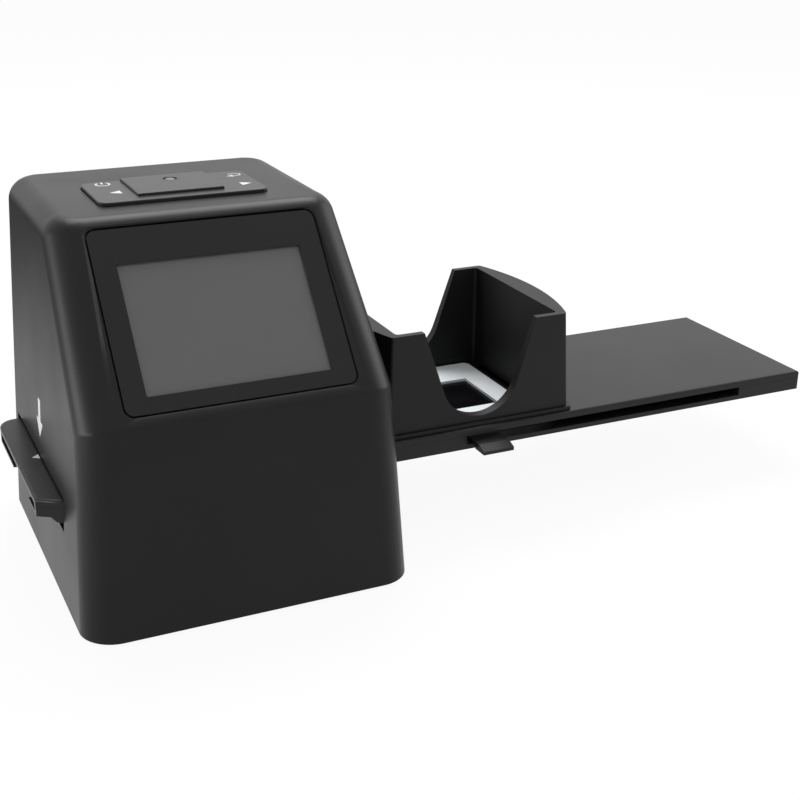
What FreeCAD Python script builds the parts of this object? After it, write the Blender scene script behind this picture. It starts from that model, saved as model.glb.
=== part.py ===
import FreeCAD, Part
import math
import os

# Film negative scanner with its slide feeder pushed in from the right.
# Millimetres. X to the right, Y to the back, Z up.
# Origin: middle of the flat underside of the bottom cover.

V = FreeCAD.Vector

# Housing
housing_width = 93.0
housing_depth = 105.0
housing_height = 102.0
side_draft_deg = 3.5
front_draft_deg = 2.9
back_draft_deg = 0.6
face_tilt_deg = 39.9
face_drop = 44.4
corner_radius = 9.8
top_radius = 6.6
knee_radius = 2.5
wall = 2.2

# Clearances
fit_gap = 0.2
seat_gap = 0.05
slide_gap = 0.3
key_seam_gap = 0.06
hole_gap = 0.05
overrun = 1.0

# Screen window and display
window_side_margin = 15.25
window_end_margin = 3.24
window_thickness = 1.2
window_corner = 2.6
window_groove = 0.35
window_recess = 0.1
opening_side_margin = 4.75
opening_end_margin = 5.4
display_drop = 2.4
panel_side_margin = 1.75
panel_end_margin = 3.9
panel_thickness = 2.3
frame_thickness = 1.5
frame_overlap = 1.6
frame_window_width = 22.0
frame_window_height = 16.0
panel_boss_inset = 5.5
boss_radius = 2.1

# Keys on the top
key_plate_side_margin = 22.7
key_plate_depth = 25.4
key_plate_setback = 10.96
key_plate_corner = 2.6
key_height = 1.0
ok_key_share = 0.513
ok_key_front_gap = 4.6
ok_key_rise = 0.7
key_edge_radius = 0.35
key_opening_gap = 0.25
key_flange_width = 0.9
key_flange_thickness = 1.3
key_flange_gap = 0.1
key_rear_depth = 8.9
key_foot_radius = 1.6
key_travel = 0.5
key_spare = 0.15
front_switch_inset = 6.4
ok_switch_inset = 14.5
status_lens_x = 0.8
status_lens_inset = 6.0
status_lens_radius = 1.5
status_ring_radius = 2.05
status_ring_depth = 0.35
status_led_radius = 1.3

# Button board
button_board_margin_x = 7.7
button_board_margin_y = 3.5
board_thickness = 1.6
switch_size = 6.0
switch_height = 3.4
plunger_radius = 1.75
plunger_height = 0.9
button_post_inset_x = 2.9
button_post_inset_y = 3.0

# Fasteners
screw_radius = 0.95
screw_head_radius = 1.9
screw_head_height = 1.1
screw_length = 4.6
case_screw_radius = 1.25
case_screw_head_radius = 2.4
case_screw_head_height = 1.4
case_screw_length = 11.0

# Bottom cover and feet
cover_thickness = 2.2
cover_column_radius = 3.1
cover_column_height = 16.0
column_side_inset = 8.9
column_front_inset = 9.3
column_back_inset = 9.1
column_rib_width = 2.4
foot_radius = 4.6
foot_thickness = 1.7
foot_stand = 0.8
foot_bevel = 0.35
foot_side_inset = 16.5
foot_end_inset = 14.0

# Slide
slide_size = 50.0
slide_half_thickness = 0.9
slide_corner = 2.0
slide_window_x = 35.0
slide_window_y = 23.0
film_margin = 1.4
film_thickness = 0.2
slide_left_gap = 0.6
slide_rest_gap = 0.1

# Slide feeder tray
tray_low = 23.7
tray_thickness = 6.4
tray_lid_thickness = 2.1
tray_rail_width = 6.0
tray_reach_left = 4.7
tray_lead_length = 6.6
tray_lead_width = 4.2
tray_lead_radius = 5.0
tray_edge_radius = 0.8
tray_end_step = 1.4
tray_end_step_length = 3.4
tray_end_slope = 1.4
tray_lip_thickness = 0.8
tray_end_wall = 3.0
slide_side_play = 0.5
channel_floor = 1.2
channel_relief = 0.3
gate_window_x = 38.0
gate_window_y = 26.0
finger_notch_radius = 11.5
finger_notch_setback = 5.0
pusher_slot_gap = 0.3
pusher_slot_end_gap = 2.2
pusher_slot_far_gap = 1.0
tray_screw_left_inset = 21.2
tray_screw_hopper_inset = 17.6
tray_screw_right_inset = 10.0
tray_screw_length = 4.4
tray_screw_margin = 2.9

# Hopper on the tray
hopper_side_gap = 0.74
hopper_play_x = 2.0
hopper_play_y = 1.0
hopper_height = 31.2
hopper_flange_height = 1.2
hopper_flange_lip = 0.8
hopper_end_wall = 3.4
hopper_front_wall = 3.4
hopper_bulge = 5.0
hopper_taper = 1.3
hopper_corner = 1.2
hopper_cut_radius = 13.0
hopper_cut_top_half = 18.6
hopper_cut_floor = 2.9
hopper_peg_radius = 1.1
hopper_peg_depth = 1.6
hopper_peg_inset = 1.0

# Pusher
pusher_length = 83.8
pusher_end_overlap = 0.4
pusher_thickness = 1.3
pusher_side_gap = 0.25
pusher_tab_setback = 3.4
pusher_tab_width = 10.2
pusher_arm_thickness = 0.9
pusher_tab_reach = 6.6
pusher_tab_drop = 1.7
pusher_tab_nose = 1.1
pusher_travel = 88.0
pusher_end_room = 2.0

# Film tunnel
tunnel_floor_gap = 2.4
tunnel_roof_gap = 1.1
tunnel_front_gap = 0.7
tunnel_back_gap = 2.0
tunnel_board_gap = 2.4
guide_floor_thickness = 2.0
guide_rail_thickness = 2.2
guide_roof_thickness = 1.8
guide_leg_size = 4.0
guide_leg_inset = 6.0
guide_end_gap = 0.1
camera_view_x = 38.0
camera_view_y = 26.0
diffuser_width = 44.0
diffuser_depth = 32.0
diffuser_thickness = 1.4
diffuser_ledge = 1.6
spring_length = 20.0
spring_width = 4.0
spring_thickness = 0.35
spring_bump_radius = 1.6
spring_inset = 4.1

# Backlight
led_board_width = 50.0
led_board_depth = 38.0
led_board_height = 4.4
light_box_base_width = 40.0
light_box_base_depth = 29.0
light_box_wall = 1.2
led_size = 3.5
led_height = 1.0
led_pitch_x = 12.0
led_pitch_y = 10.0
led_columns = 3
led_rows = 2
standoff_radius = 2.2
standoff_inset = 4.0

# Camera
tower_base_width = 46.0
tower_base_depth = 34.0
tower_top_width = 28.0
tower_top_depth = 26.0
tower_wall = 1.8
tower_top_drop = 28.0
tower_foot_height = 2.0
barrel_radius = 6.4
barrel_bore = 4.6
barrel_length = 14.0
barrel_flange_radius = 8.4
barrel_flange_height = 1.2
lens_radius = 4.55
lens_edge = 1.6
lens_crown = 1.1
lens_depth = 4.0
sensor_board_width = 26.0
sensor_board_depth = 24.0
sensor_board_thickness = 1.2
sensor_post_height = 3.2
sensor_post_size = 3.0
sensor_width = 9.4
sensor_depth = 8.4
sensor_thickness = 1.5

# Main board and its sockets
main_board_inset = 10.1
main_board_side_margin = 13.5
main_board_low = 7.0
main_board_top_margin = 15.0
board_boss_inset = 4.0
board_boss_low_inset = 17.0
board_boss_top_inset = 5.0
usb_x = -11.0
usb_z = 14.0
usb_width = 7.8
usb_height = 4.2
usb_shell = 0.4
usb_tongue_width = 4.6
usb_tongue_thickness = 0.9
socket_recess = 0.4
socket_gap = 0.3
video_x = 11.0
video_z = 14.0
video_bore = 1.8
video_nose_radius = 3.0
video_body = 7.0
video_body_depth = 5.0
card_drop = 36.0
card_slot_height = 24.6
card_slot_width = 2.8
card_socket_length = 27.0
card_socket_wall = 0.5
processor_size = 13.0
processor_thickness = 1.4
processor_drop = 38.0
processor_x = -12.0
memory_width = 12.0
memory_height = 8.0
memory_thickness = 1.1
memory_drop = 22.0
memory_x = -12.0


# Worked-out places on the housing
side_draft = math.radians(side_draft_deg)
front_draft = math.radians(front_draft_deg)
back_draft = math.radians(back_draft_deg)
face_tilt = math.radians(face_tilt_deg)
half_width = housing_width / 2
half_depth = housing_depth / 2
front_y = -half_depth
knee_height = housing_height - face_drop
knee_y = front_y + knee_height * math.tan(front_draft)
brow_y = knee_y + face_drop * math.tan(face_tilt)
face_length = face_drop / math.cos(face_tilt)
ceiling = housing_height - wall

# Worked-out places of the window and the display
window_width = housing_width - 2 * window_side_margin
window_height = face_length - 2 * window_end_margin
opening_width = window_width - 2 * opening_side_margin
opening_height = window_height - 2 * opening_end_margin
panel_width = window_width - 2 * panel_side_margin
panel_height = window_height - 2 * panel_end_margin
frame_height = window_height + 2 * frame_overlap
panel_boss_x = panel_width / 2 - panel_boss_inset
panel_boss_w = frame_height / 2 - boss_radius

# Worked-out places of the keys
key_plate_width = housing_width - 2 * key_plate_side_margin
key_plate_front = brow_y + key_plate_setback
key_plate_y = key_plate_front + key_plate_depth / 2
key_plate_back = key_plate_front + key_plate_depth
ok_key_width = key_plate_width * ok_key_share
ok_key_depth = key_plate_depth - ok_key_front_gap
key_split_y = key_plate_back - key_rear_depth
side_key_x = (key_plate_width + ok_key_width) / 4
rear_key_y = (key_split_y + key_plate_back) / 2
front_key_y = key_split_y - front_switch_inset
ok_key_switch_y = key_plate_back - ok_switch_inset
status_lens_y = key_plate_back - status_lens_inset
key_deck = housing_height + key_height
key_flange_top = ceiling - key_flange_gap
key_flange_low = key_flange_top - key_flange_thickness
plunger_top = key_flange_low - key_travel - key_spare
button_board_top = plunger_top - plunger_height - switch_height
button_board_low = button_board_top - board_thickness
button_board_half = key_plate_width / 2 + button_board_margin_x
button_board_front_y = key_plate_front - button_board_margin_y
button_board_back_y = key_plate_back + button_board_margin_y
button_post_x = button_board_half - button_post_inset_x
button_post_front_y = button_board_front_y + button_post_inset_y
button_post_back_y = button_board_back_y - button_post_inset_y

# Worked-out places of the feeder and the film tunnel
tray_top = tray_low + tray_thickness
tray_seam = tray_top - tray_lid_thickness
slide_channel_width = slide_size + 2 * slide_side_play
tray_width = slide_channel_width + 2 * tray_rail_width
main_board_y = half_depth - main_board_inset
main_board_back = main_board_y + board_thickness
gate_y = main_board_y - tunnel_board_gap - guide_rail_thickness - slide_gap - tray_width / 2
tray_front = gate_y - tray_width / 2
tray_back = gate_y + tray_width / 2
tray_left = -half_width - tray_reach_left
finger_notch_y = gate_y - finger_notch_setback
channel_front = gate_y - slide_channel_width / 2
channel_back = gate_y + slide_channel_width / 2
channel_base = tray_low + channel_floor
tray_end_low = tray_low + tray_end_step
tray_lip_top = tray_end_low + tray_lip_thickness
tray_step_x = tray_left + tray_end_step_length
tray_slope_x = tray_step_x + tray_end_slope
guide_floor_top = tray_low - slide_gap
guide_floor_low = guide_floor_top - guide_floor_thickness
guide_roof = tray_top + slide_gap + slide_gap
tunnel_opening_low = tray_low - tunnel_floor_gap
tunnel_opening_high = tray_top + tunnel_roof_gap
spring_y = tray_back - spring_inset

# Worked-out places of the hopper, the pusher and the slide
hopper_cavity_x = slide_size + 2 * hopper_play_x
hopper_cavity_y = slide_size + 2 * hopper_play_y
hopper_reach = hopper_cavity_x / 2 + hopper_end_wall + hopper_bulge + hopper_flange_lip
housing_side_x = half_width - tray_top * math.tan(side_draft)
hopper_x = housing_side_x + hopper_side_gap + hopper_reach
hopper_base = tray_top
hopper_top = hopper_base + hopper_height
pusher_right = hopper_x + hopper_cavity_x / 2 + pusher_end_overlap
pusher_left = pusher_right - pusher_length
pusher_tab_left = hopper_x - pusher_tab_setback
pusher_base = channel_base + seat_gap
pusher_top = pusher_base + pusher_thickness
pusher_slot_low = channel_base + pusher_slot_gap
pusher_slot_left = pusher_tab_left - pusher_slot_end_gap
pusher_slot_right = pusher_tab_left + pusher_tab_width + pusher_travel + pusher_slot_far_gap
tray_right = pusher_right + pusher_travel + pusher_end_room + tray_end_wall
slide_base = pusher_top + slide_rest_gap

# Worked-out places inside
tower_top_height = housing_height - tower_top_drop
sensor_board_low = tower_top_height + sensor_post_height
main_board_half = half_width - main_board_side_margin
main_board_high = housing_height - main_board_top_margin
card_z = housing_height - card_drop
processor_z = housing_height - processor_drop
memory_z = card_z - memory_drop


# Plain forms

def box(x0, x1, y0, y1, z0, z1):
    return Part.makeBox(x1 - x0, y1 - y0, z1 - z0, V(x0, y0, z0))


def disc(x, y, z0, z1, radius):
    return Part.makeCylinder(radius, z1 - z0, V(x, y, z0))


def rod_y(x, z, y0, y1, radius):
    return Part.makeCylinder(radius, y1 - y0, V(x, y0, z), V(0, 1, 0))


def prism_z(points, z0, z1):
    corners = [V(x, y, z0) for x, y in points]
    return Part.Face(Part.makePolygon(corners + corners[:1])).extrude(V(0, 0, z1 - z0))


def prism_y(points, y0, y1):
    corners = [V(x, y0, z) for x, z in points]
    return Part.Face(Part.makePolygon(corners + corners[:1])).extrude(V(0, y1 - y0, 0))


def prism_x(points, x0, x1):
    corners = [V(x0, y, z) for y, z in points]
    return Part.Face(Part.makePolygon(corners + corners[:1])).extrude(V(x1 - x0, 0, 0))


def rounded_block(x0, x1, y0, y1, z0, z1, radius):
    block = box(x0, x1, y0, y1, z0, z1)
    uprights = [e for e in block.Edges if abs(e.Vertexes[0].Z - e.Vertexes[1].Z) > 0]
    return block.makeFillet(radius, uprights)


def cut(base, *tools):
    for tool in tools:
        base = base.cut(tool)
    return base


def join(base, *pieces):
    for piece in pieces:
        base = base.fuse(piece)
    return base.removeSplitter()


def middle(edge):
    return edge.valueAt((edge.FirstParameter + edge.LastParameter) / 2)


def export(name, shape):
    shape.exportStep(os.path.join("parts", name + ".step"))


def on_face(shape):
    """Lay a form drawn on a flat sheet onto the sloping screen face."""
    middle_of_face = V(0, (knee_y + brow_y) / 2, knee_height + face_drop / 2)
    turn = FreeCAD.Rotation(V(1, 0, 0), 90 - face_tilt_deg)
    return shape.transformed(FreeCAD.Placement(middle_of_face, turn).toMatrix(), True)


# Housing form

def front_at(z, inset):
    return front_y + z * math.tan(front_draft) + inset / math.cos(front_draft)


def slope_at(z, inset):
    return knee_y + (z - knee_height) * math.tan(face_tilt) + inset / math.cos(face_tilt)


def back_at(z, inset):
    return half_depth - z * math.tan(back_draft) - inset / math.cos(back_draft)


def side_at(z, inset):
    return half_width - z * math.tan(side_draft) - inset / math.cos(side_draft)


def housing_form(inset, bottom):
    """The drafted outer body, or the same body shrunk by inset."""
    lean = 1 / math.cos(front_draft) - 1 / math.cos(face_tilt)
    knee = knee_height + inset * lean / (math.tan(face_tilt) - math.tan(front_draft))
    top = housing_height - inset
    side_view = [(front_at(bottom, inset), bottom), (front_at(knee, inset), knee),
                 (slope_at(top, inset), top), (back_at(top, inset), top),
                 (back_at(bottom, inset), bottom)]
    front_view = [(-side_at(bottom, inset), bottom), (side_at(bottom, inset), bottom),
                  (side_at(top, inset), top), (-side_at(top, inset), top)]
    form = prism_x(side_view, -housing_width, housing_width).common(
        prism_y(front_view, -housing_depth, housing_depth))
    uprights = [e for e in form.Edges
                if abs(e.Vertexes[0].Z - e.Vertexes[1].Z) > housing_height / 4]
    form = form.makeFillet(corner_radius - inset, uprights)
    rim = [e for e in form.Edges
           if all(abs(v.Z - top) < fit_gap for v in e.Vertexes)
           and middle(e).y > slope_at(top, inset) + fit_gap]
    form = form.makeFillet(top_radius - inset, rim)
    if inset < knee_radius / 2:
        creases = [e for e in form.Edges
                   if abs(middle(e).x) < overrun
                   and (abs(middle(e).z - knee) < overrun and middle(e).y < 0)]
        form = form.makeFillet(knee_radius - inset, creases)
    return form


def side_column(x, y):
    """A screw column beside a corner, tied to the side wall by a rib."""
    outward = math.copysign(half_width, x)
    column = disc(x, y, cover_thickness + seat_gap, cover_column_height, cover_column_radius)
    rib = box(min(x, outward), max(x, outward), y - column_rib_width / 2,
              y + column_rib_width / 2, cover_thickness + seat_gap, cover_column_height)
    pilot = disc(x, y, 0, cover_thickness + case_screw_length, case_screw_radius + hole_gap)
    return join(column, rib), pilot


def column_places():
    return [(sx * (half_width - column_side_inset), y) for sx in (-1, 1)
            for y in (column_front_inset - half_depth, half_depth - column_back_inset)]


def board_boss_places():
    x = main_board_half - board_boss_inset
    return [(sx * x, z) for sx in (-1, 1)
            for z in (main_board_low + board_boss_low_inset,
                      main_board_high - board_boss_top_inset)]


def button_post_places():
    return [(sx * button_post_x, y) for sx in (-1, 1)
            for y in (button_post_front_y, button_post_back_y)]


def panel_boss_places():
    return [(sx * panel_boss_x, sw * panel_boss_w) for sx in (-1, 1) for sw in (-1, 1)]


def panel_stack():
    """Depths below the screen face: panel front, panel back, frame back."""
    front = -wall - seat_gap
    back = front - panel_thickness
    rear = back - seat_gap - frame_thickness
    return front, back, rear


def make_housing_shell():
    body = housing_form(0, 0)
    hollow = housing_form(wall, -overrun)
    shell = body.cut(hollow)

    bosses = []
    holes = []
    for x, y in column_places():
        column, pilot = side_column(x, y)
        bosses.append(column)
        holes.append(pilot)
    for x, z in board_boss_places():
        bosses.append(rod_y(x, z, main_board_back + seat_gap, half_depth, boss_radius))
        holes.append(rod_y(x, z, main_board_y, main_board_y + screw_length + overrun,
                           screw_radius + hole_gap))
    for x, y in button_post_places():
        bosses.append(disc(x, y, button_board_top + seat_gap, housing_height - wall / 2,
                           boss_radius))
        holes.append(disc(x, y, button_board_low, button_board_low + screw_length + overrun,
                          screw_radius + hole_gap))
    front, back, rear = panel_stack()
    for x, w in panel_boss_places():
        bosses.append(on_face(disc(x, w, back, -wall / 2, boss_radius)))
        holes.append(on_face(disc(x, w, rear, rear + screw_length, screw_radius + hole_gap)))
    inner_forms = join(bosses[0], *bosses[1:]).common(body)
    shell = join(shell, inner_forms)
    shell = cut(shell, *holes)

    pocket = rounded_block(-window_width / 2 - window_groove, window_width / 2 + window_groove,
                           -window_height / 2 - window_groove,
                           window_height / 2 + window_groove,
                           -window_thickness - window_recess - seat_gap, overrun,
                           window_corner + window_groove)
    view = rounded_block(-opening_width / 2, opening_width / 2,
                         -opening_height / 2 - display_drop,
                         opening_height / 2 - display_drop,
                         -wall - overrun, overrun, window_corner / 2)
    half_x = key_plate_width / 2 + key_opening_gap
    half_y = key_plate_depth / 2 + key_opening_gap
    keys = rounded_block(-half_x, half_x, key_plate_y - half_y, key_plate_y + half_y,
                         ceiling - overrun, housing_height + overrun,
                         key_plate_corner + key_opening_gap)
    tunnel = box(-housing_width, housing_width, tray_front - tunnel_front_gap,
                 tray_back + tunnel_back_gap, tunnel_opening_low, tunnel_opening_high)
    usb = box(usb_x - usb_width / 2 - socket_gap, usb_x + usb_width / 2 + socket_gap,
              main_board_back + boss_radius, housing_depth,
              usb_z - usb_height / 2 - socket_gap, usb_z + usb_height / 2 + socket_gap)
    video = rod_y(video_x, video_z, main_board_back + boss_radius, housing_depth,
                  video_nose_radius + socket_gap)
    card = box(0, housing_width, main_board_y - card_socket_wall - card_slot_width,
               main_board_y - card_socket_wall,
               card_z - card_slot_height / 2, card_z + card_slot_height / 2)
    return cut(shell, on_face(pocket), on_face(view), keys, tunnel, usb, video, card)


# Bottom cover, feet and screws

def foot_places():
    return [(sx * (half_width - foot_side_inset), sy * (half_depth - foot_end_inset))
            for sx in (-1, 1) for sy in (-1, 1)]


def standoff_places():
    half_x = led_board_width / 2 - standoff_inset
    half_y = led_board_depth / 2 - standoff_inset
    return [(sx * half_x, gate_y + sy * half_y) for sx in (-1, 1) for sy in (-1, 1)]


def make_bottom_cover():
    outline = housing_form(wall + fit_gap, 0)
    slab = outline.common(box(-housing_width, housing_width, -housing_depth, housing_depth,
                              0, cover_thickness))
    pads = [disc(x, y, 0, led_board_height, standoff_radius) for x, y in standoff_places()]
    cover = join(slab, *pads)
    for x, y in column_places():
        cover = cut(cover, disc(x, y, -overrun, cover_thickness + overrun,
                                case_screw_radius + fit_gap),
                    disc(x, y, -overrun, case_screw_head_height,
                         case_screw_head_radius + fit_gap))
    for x, y in foot_places():
        cover = cut(cover, disc(x, y, -overrun, foot_thickness - foot_stand, foot_radius))
    return cover


def make_rubber_feet():
    feet = []
    for x, y in foot_places():
        foot = disc(x, y, -foot_stand, foot_thickness - foot_stand, foot_radius)
        rim = [e for e in foot.Edges if e.Closed and middle(e).z < 0]
        feet.append(foot.makeChamfer(foot_bevel, rim))
    return Part.makeCompound(feet)


def make_screw(radius, length, head_radius, head_height):
    """A flat headed screw, head down, with its head's underside at zero."""
    return join(disc(0, 0, 0, length, radius), disc(0, 0, -head_height, 0, head_radius))


def placed(shape, x, y, z, axis=None, angle=0):
    turn = FreeCAD.Rotation(axis or V(0, 0, 1), angle)
    return shape.transformed(FreeCAD.Placement(V(x, y, z), turn).toMatrix(), True)


def make_housing_screws():
    screw = make_screw(case_screw_radius, case_screw_length, case_screw_head_radius,
                       case_screw_head_height - fit_gap)
    return Part.makeCompound([placed(screw, x, y, case_screw_head_height)
                              for x, y in column_places()])


def make_board_screws():
    screw = make_screw(screw_radius, screw_length, screw_head_radius, screw_head_height)
    screws = [placed(screw, x, main_board_y, z, V(1, 0, 0), -90)
              for x, z in board_boss_places()]
    screws += [placed(screw, x, y, button_board_low) for x, y in button_post_places()]
    rear = panel_stack()[2]
    screws += [on_face(placed(screw, x, w, rear)) for x, w in panel_boss_places()]
    return Part.makeCompound(screws)


# Screen

def make_screen_window():
    plate = rounded_block(-window_width / 2, window_width / 2,
                          -window_height / 2, window_height / 2,
                          -window_thickness - window_recess, -window_recess, window_corner)
    rim = [e for e in plate.Edges if all(abs(v.Z + window_recess) < hole_gap for v in e.Vertexes)]
    return on_face(plate.makeFillet(window_groove / 2, rim))


def make_lcd_panel():
    """The display, whose glass stands up through the opening to the window."""
    front, back, rear = panel_stack()
    panel = box(-panel_width / 2, panel_width / 2, -panel_height / 2, panel_height / 2,
                back, front)
    half_x = opening_width / 2 - fit_gap
    half_y = opening_height / 2 - fit_gap
    glass = rounded_block(-half_x, half_x, -half_y - display_drop, half_y - display_drop, front,
                          -window_recess - window_thickness - seat_gap - seat_gap,
                          window_corner / 2)
    return on_face(join(panel, glass))


def make_lcd_frame():
    front, back, rear = panel_stack()
    plate = rounded_block(-panel_width / 2, panel_width / 2, -frame_height / 2,
                          frame_height / 2, rear, back - seat_gap, boss_radius)
    inner = box(-frame_window_width / 2, frame_window_width / 2, -frame_window_height / 2,
                frame_window_height / 2, rear - overrun, back + overrun)
    plate = cut(plate, inner)
    for x, w in panel_boss_places():
        plate = cut(plate, disc(x, w, rear - overrun, back + overrun, screw_radius + hole_gap))
    return on_face(plate)


# Keys, button board and status light

def key_plate(grow, z0, z1):
    half_x = key_plate_width / 2 + grow
    half_y = key_plate_depth / 2 + grow
    return rounded_block(-half_x, half_x, key_plate_y - half_y, key_plate_y + half_y,
                         z0, z1, key_plate_corner + grow)


def ok_zone(grow):
    """The middle key's share of the plate, open at the back."""
    half = ok_key_width / 2 + grow
    return box(-half, half, key_plate_back - ok_key_depth - grow, key_plate_back + housing_depth,
               button_board_low, housing_height + wall + wall)


def switch_places():
    return {"power_key": (-side_key_x, rear_key_y), "left_key": (-side_key_x, front_key_y),
            "right_key": (side_key_x, front_key_y), "mode_key": (side_key_x, rear_key_y),
            "ok_key": (0, ok_key_switch_y)}


def key_blank(top):
    cap = key_plate(0, key_flange_low, top)
    rim = [e for e in cap.Edges if all(abs(v.Z - top) < hole_gap for v in e.Vertexes)]
    cap = cap.makeFillet(key_edge_radius, rim)
    flange = key_plate(key_flange_width, key_flange_low, key_flange_top)
    return join(cap, flange)


def key_foot(name):
    x, y = switch_places()[name]
    return disc(x, y, plunger_top + key_travel + key_spare / 2, key_flange_low + overrun,
                key_foot_radius)


def make_corner_key(name):
    side = -1 if name in ("power_key", "left_key") else 1
    near = key_seam_gap / 2
    far = housing_width
    split = key_split_y
    rear = name in ("power_key", "mode_key")
    y0, y1 = (split + near, far) if rear else (-far, split - near)
    x0, x1 = sorted((side * near, side * far))
    zone = box(x0, x1, y0, y1, button_board_low, housing_height + wall)
    key = key_blank(key_deck).common(zone)
    key = key.cut(ok_zone(key_seam_gap))
    return join(key, key_foot(name))


def make_ok_key():
    top = key_deck + ok_key_rise
    raised = ok_zone(0).common(key_blank(top))
    rim = [e for e in raised.Edges
           if all(abs(v.Z - top) < hole_gap for v in e.Vertexes)
           and middle(e).y < key_plate_back - overrun]
    key = join(raised.makeFillet(key_edge_radius, rim), key_foot("ok_key"))
    bore = disc(status_lens_x, status_lens_y, plunger_top, housing_height + wall + wall,
                status_lens_radius + hole_gap)
    ring = disc(status_lens_x, status_lens_y, top - status_ring_depth, top + overrun,
                status_ring_radius)
    return cut(key, bore, ring)


def make_status_lens():
    top = key_deck + ok_key_rise
    pipe = disc(status_lens_x, status_lens_y, key_flange_low, top, status_lens_radius)
    rim = [e for e in pipe.Edges if e.Closed and middle(e).z > top - hole_gap]
    return pipe.makeFillet(status_lens_radius / 4, rim)


def make_button_board():
    board = rounded_block(-button_board_half, button_board_half, button_board_front_y,
                          button_board_back_y, button_board_low, button_board_top,
                          boss_radius / 2)
    for x, y in button_post_places():
        board = cut(board, disc(x, y, button_board_low - overrun, button_board_top + overrun,
                                screw_radius + hole_gap))
    return board


def make_button_switches():
    switches = []
    half = switch_size / 2
    for x, y in switch_places().values():
        body = box(x - half, x + half, y - half, y + half, button_board_top,
                   button_board_top + switch_height)
        corners = [e for e in body.Edges if abs(e.Vertexes[0].Z - e.Vertexes[1].Z) > 0]
        body = body.makeChamfer(half / 5, corners)
        plunger = disc(x, y, button_board_top + switch_height, plunger_top, plunger_radius)
        switches.append(join(body, plunger))
    return Part.makeCompound(switches)


def make_status_led():
    dome = key_flange_low - key_travel - key_spare - status_led_radius
    column = disc(status_lens_x, status_lens_y, button_board_top, dome, status_led_radius)
    cap = Part.makeSphere(status_led_radius, V(status_lens_x, status_lens_y, dome))
    upper = box(-housing_width, housing_width, -housing_depth, housing_depth, dome,
                housing_height)
    return join(column, cap.common(upper))


# Film tunnel

def guide_half_length():
    """Half the tunnel's length: it ends just short of the drafted side walls."""
    return side_at(guide_roof + guide_roof_thickness, wall) - guide_end_gap


def make_tunnel_floor():
    """The lower guide that the feeder slides on, standing on four legs."""
    reach = guide_half_length()
    front = tray_front - slide_gap
    back = tray_back + slide_gap
    outer_front = front - guide_rail_thickness
    outer_back = back + guide_rail_thickness
    guide = box(-reach, reach, outer_front, outer_back, guide_floor_low, guide_roof)
    guide = cut(guide, box(-housing_width, housing_width, front, back, guide_floor_top,
                           guide_roof + overrun))
    legs = []
    for side in (-1, 1):
        x = side * (reach - guide_leg_size)
        for y in (outer_front + guide_leg_inset, outer_back - guide_leg_inset - guide_leg_size):
            legs.append(box(x - guide_leg_size / 2, x + guide_leg_size / 2, y,
                            y + guide_leg_size, cover_thickness + seat_gap, guide_floor_low))
    guide = join(guide, *legs)
    seat = box(-diffuser_width / 2 - hole_gap, diffuser_width / 2 + hole_gap,
               gate_y - diffuser_depth / 2 - hole_gap, gate_y + diffuser_depth / 2 + hole_gap,
               guide_floor_top - diffuser_thickness - seat_gap, guide_roof)
    light = box(-diffuser_width / 2 + diffuser_ledge, diffuser_width / 2 - diffuser_ledge,
                gate_y - diffuser_depth / 2 + diffuser_ledge,
                gate_y + diffuser_depth / 2 - diffuser_ledge,
                guide_floor_low - overrun, guide_roof)
    return cut(guide, seat, light)


def make_diffuser():
    return box(-diffuser_width / 2, diffuser_width / 2, gate_y - diffuser_depth / 2,
               gate_y + diffuser_depth / 2, guide_floor_top - diffuser_thickness,
               guide_floor_top)


def make_tunnel_roof():
    front = tray_front - slide_gap - guide_rail_thickness
    back = tray_back + slide_gap + guide_rail_thickness
    low = guide_roof + seat_gap
    reach = guide_half_length()
    roof = box(-reach, reach, front, back, low, low + guide_roof_thickness)
    view = box(-camera_view_x / 2, camera_view_x / 2, gate_y - camera_view_y / 2,
               gate_y + camera_view_y / 2, low - overrun, low + guide_roof_thickness + overrun)
    roof = cut(roof, view)
    for x in spring_places():
        roof = cut(roof, box(x - spring_length / 2 - fit_gap, x + spring_length / 2 + fit_gap,
                             spring_y - spring_width / 2 - fit_gap,
                             spring_y + spring_width / 2 + fit_gap,
                             low - overrun, low + guide_roof_thickness / 2))
    return roof


def spring_places():
    return [side * guide_half_length() / 2 for side in (-1, 1)]


def make_detent_springs():
    """Two flat springs whose bumps press on the top of the feeder."""
    springs = []
    seat = guide_roof + seat_gap + guide_roof_thickness / 2
    low = seat - spring_thickness
    tip = tray_top + slide_gap
    for x in spring_places():
        strip = box(x - spring_length / 2, x + spring_length / 2, spring_y - spring_width / 2,
                    spring_y + spring_width / 2, low, seat)
        bump = rod_y(x, tip + spring_bump_radius, spring_y - spring_width / 2,
                     spring_y + spring_width / 2, spring_bump_radius)
        bump = bump.common(box(x - spring_length / 2, x + spring_length / 2, -housing_depth,
                               housing_depth, 0, seat))
        springs.append(join(strip, bump))
    return Part.makeCompound(springs)


# Backlight

def make_led_board():
    board = box(-led_board_width / 2, led_board_width / 2, gate_y - led_board_depth / 2,
                gate_y + led_board_depth / 2, led_board_height + seat_gap,
                led_board_height + seat_gap + board_thickness)
    return board


def frustum(w0, d0, z0, w1, d1, z1):
    """A block whose plan changes evenly from one rectangle to another."""
    wires = []
    for width, depth, z in ((w0, d0, z0), (w1, d1, z1)):
        corners = [V(-width / 2, gate_y - depth / 2, z), V(width / 2, gate_y - depth / 2, z),
                   V(width / 2, gate_y + depth / 2, z), V(-width / 2, gate_y + depth / 2, z)]
        wires.append(Part.makePolygon(corners + corners[:1]))
    return Part.makeLoft(wires, True, True)


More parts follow.
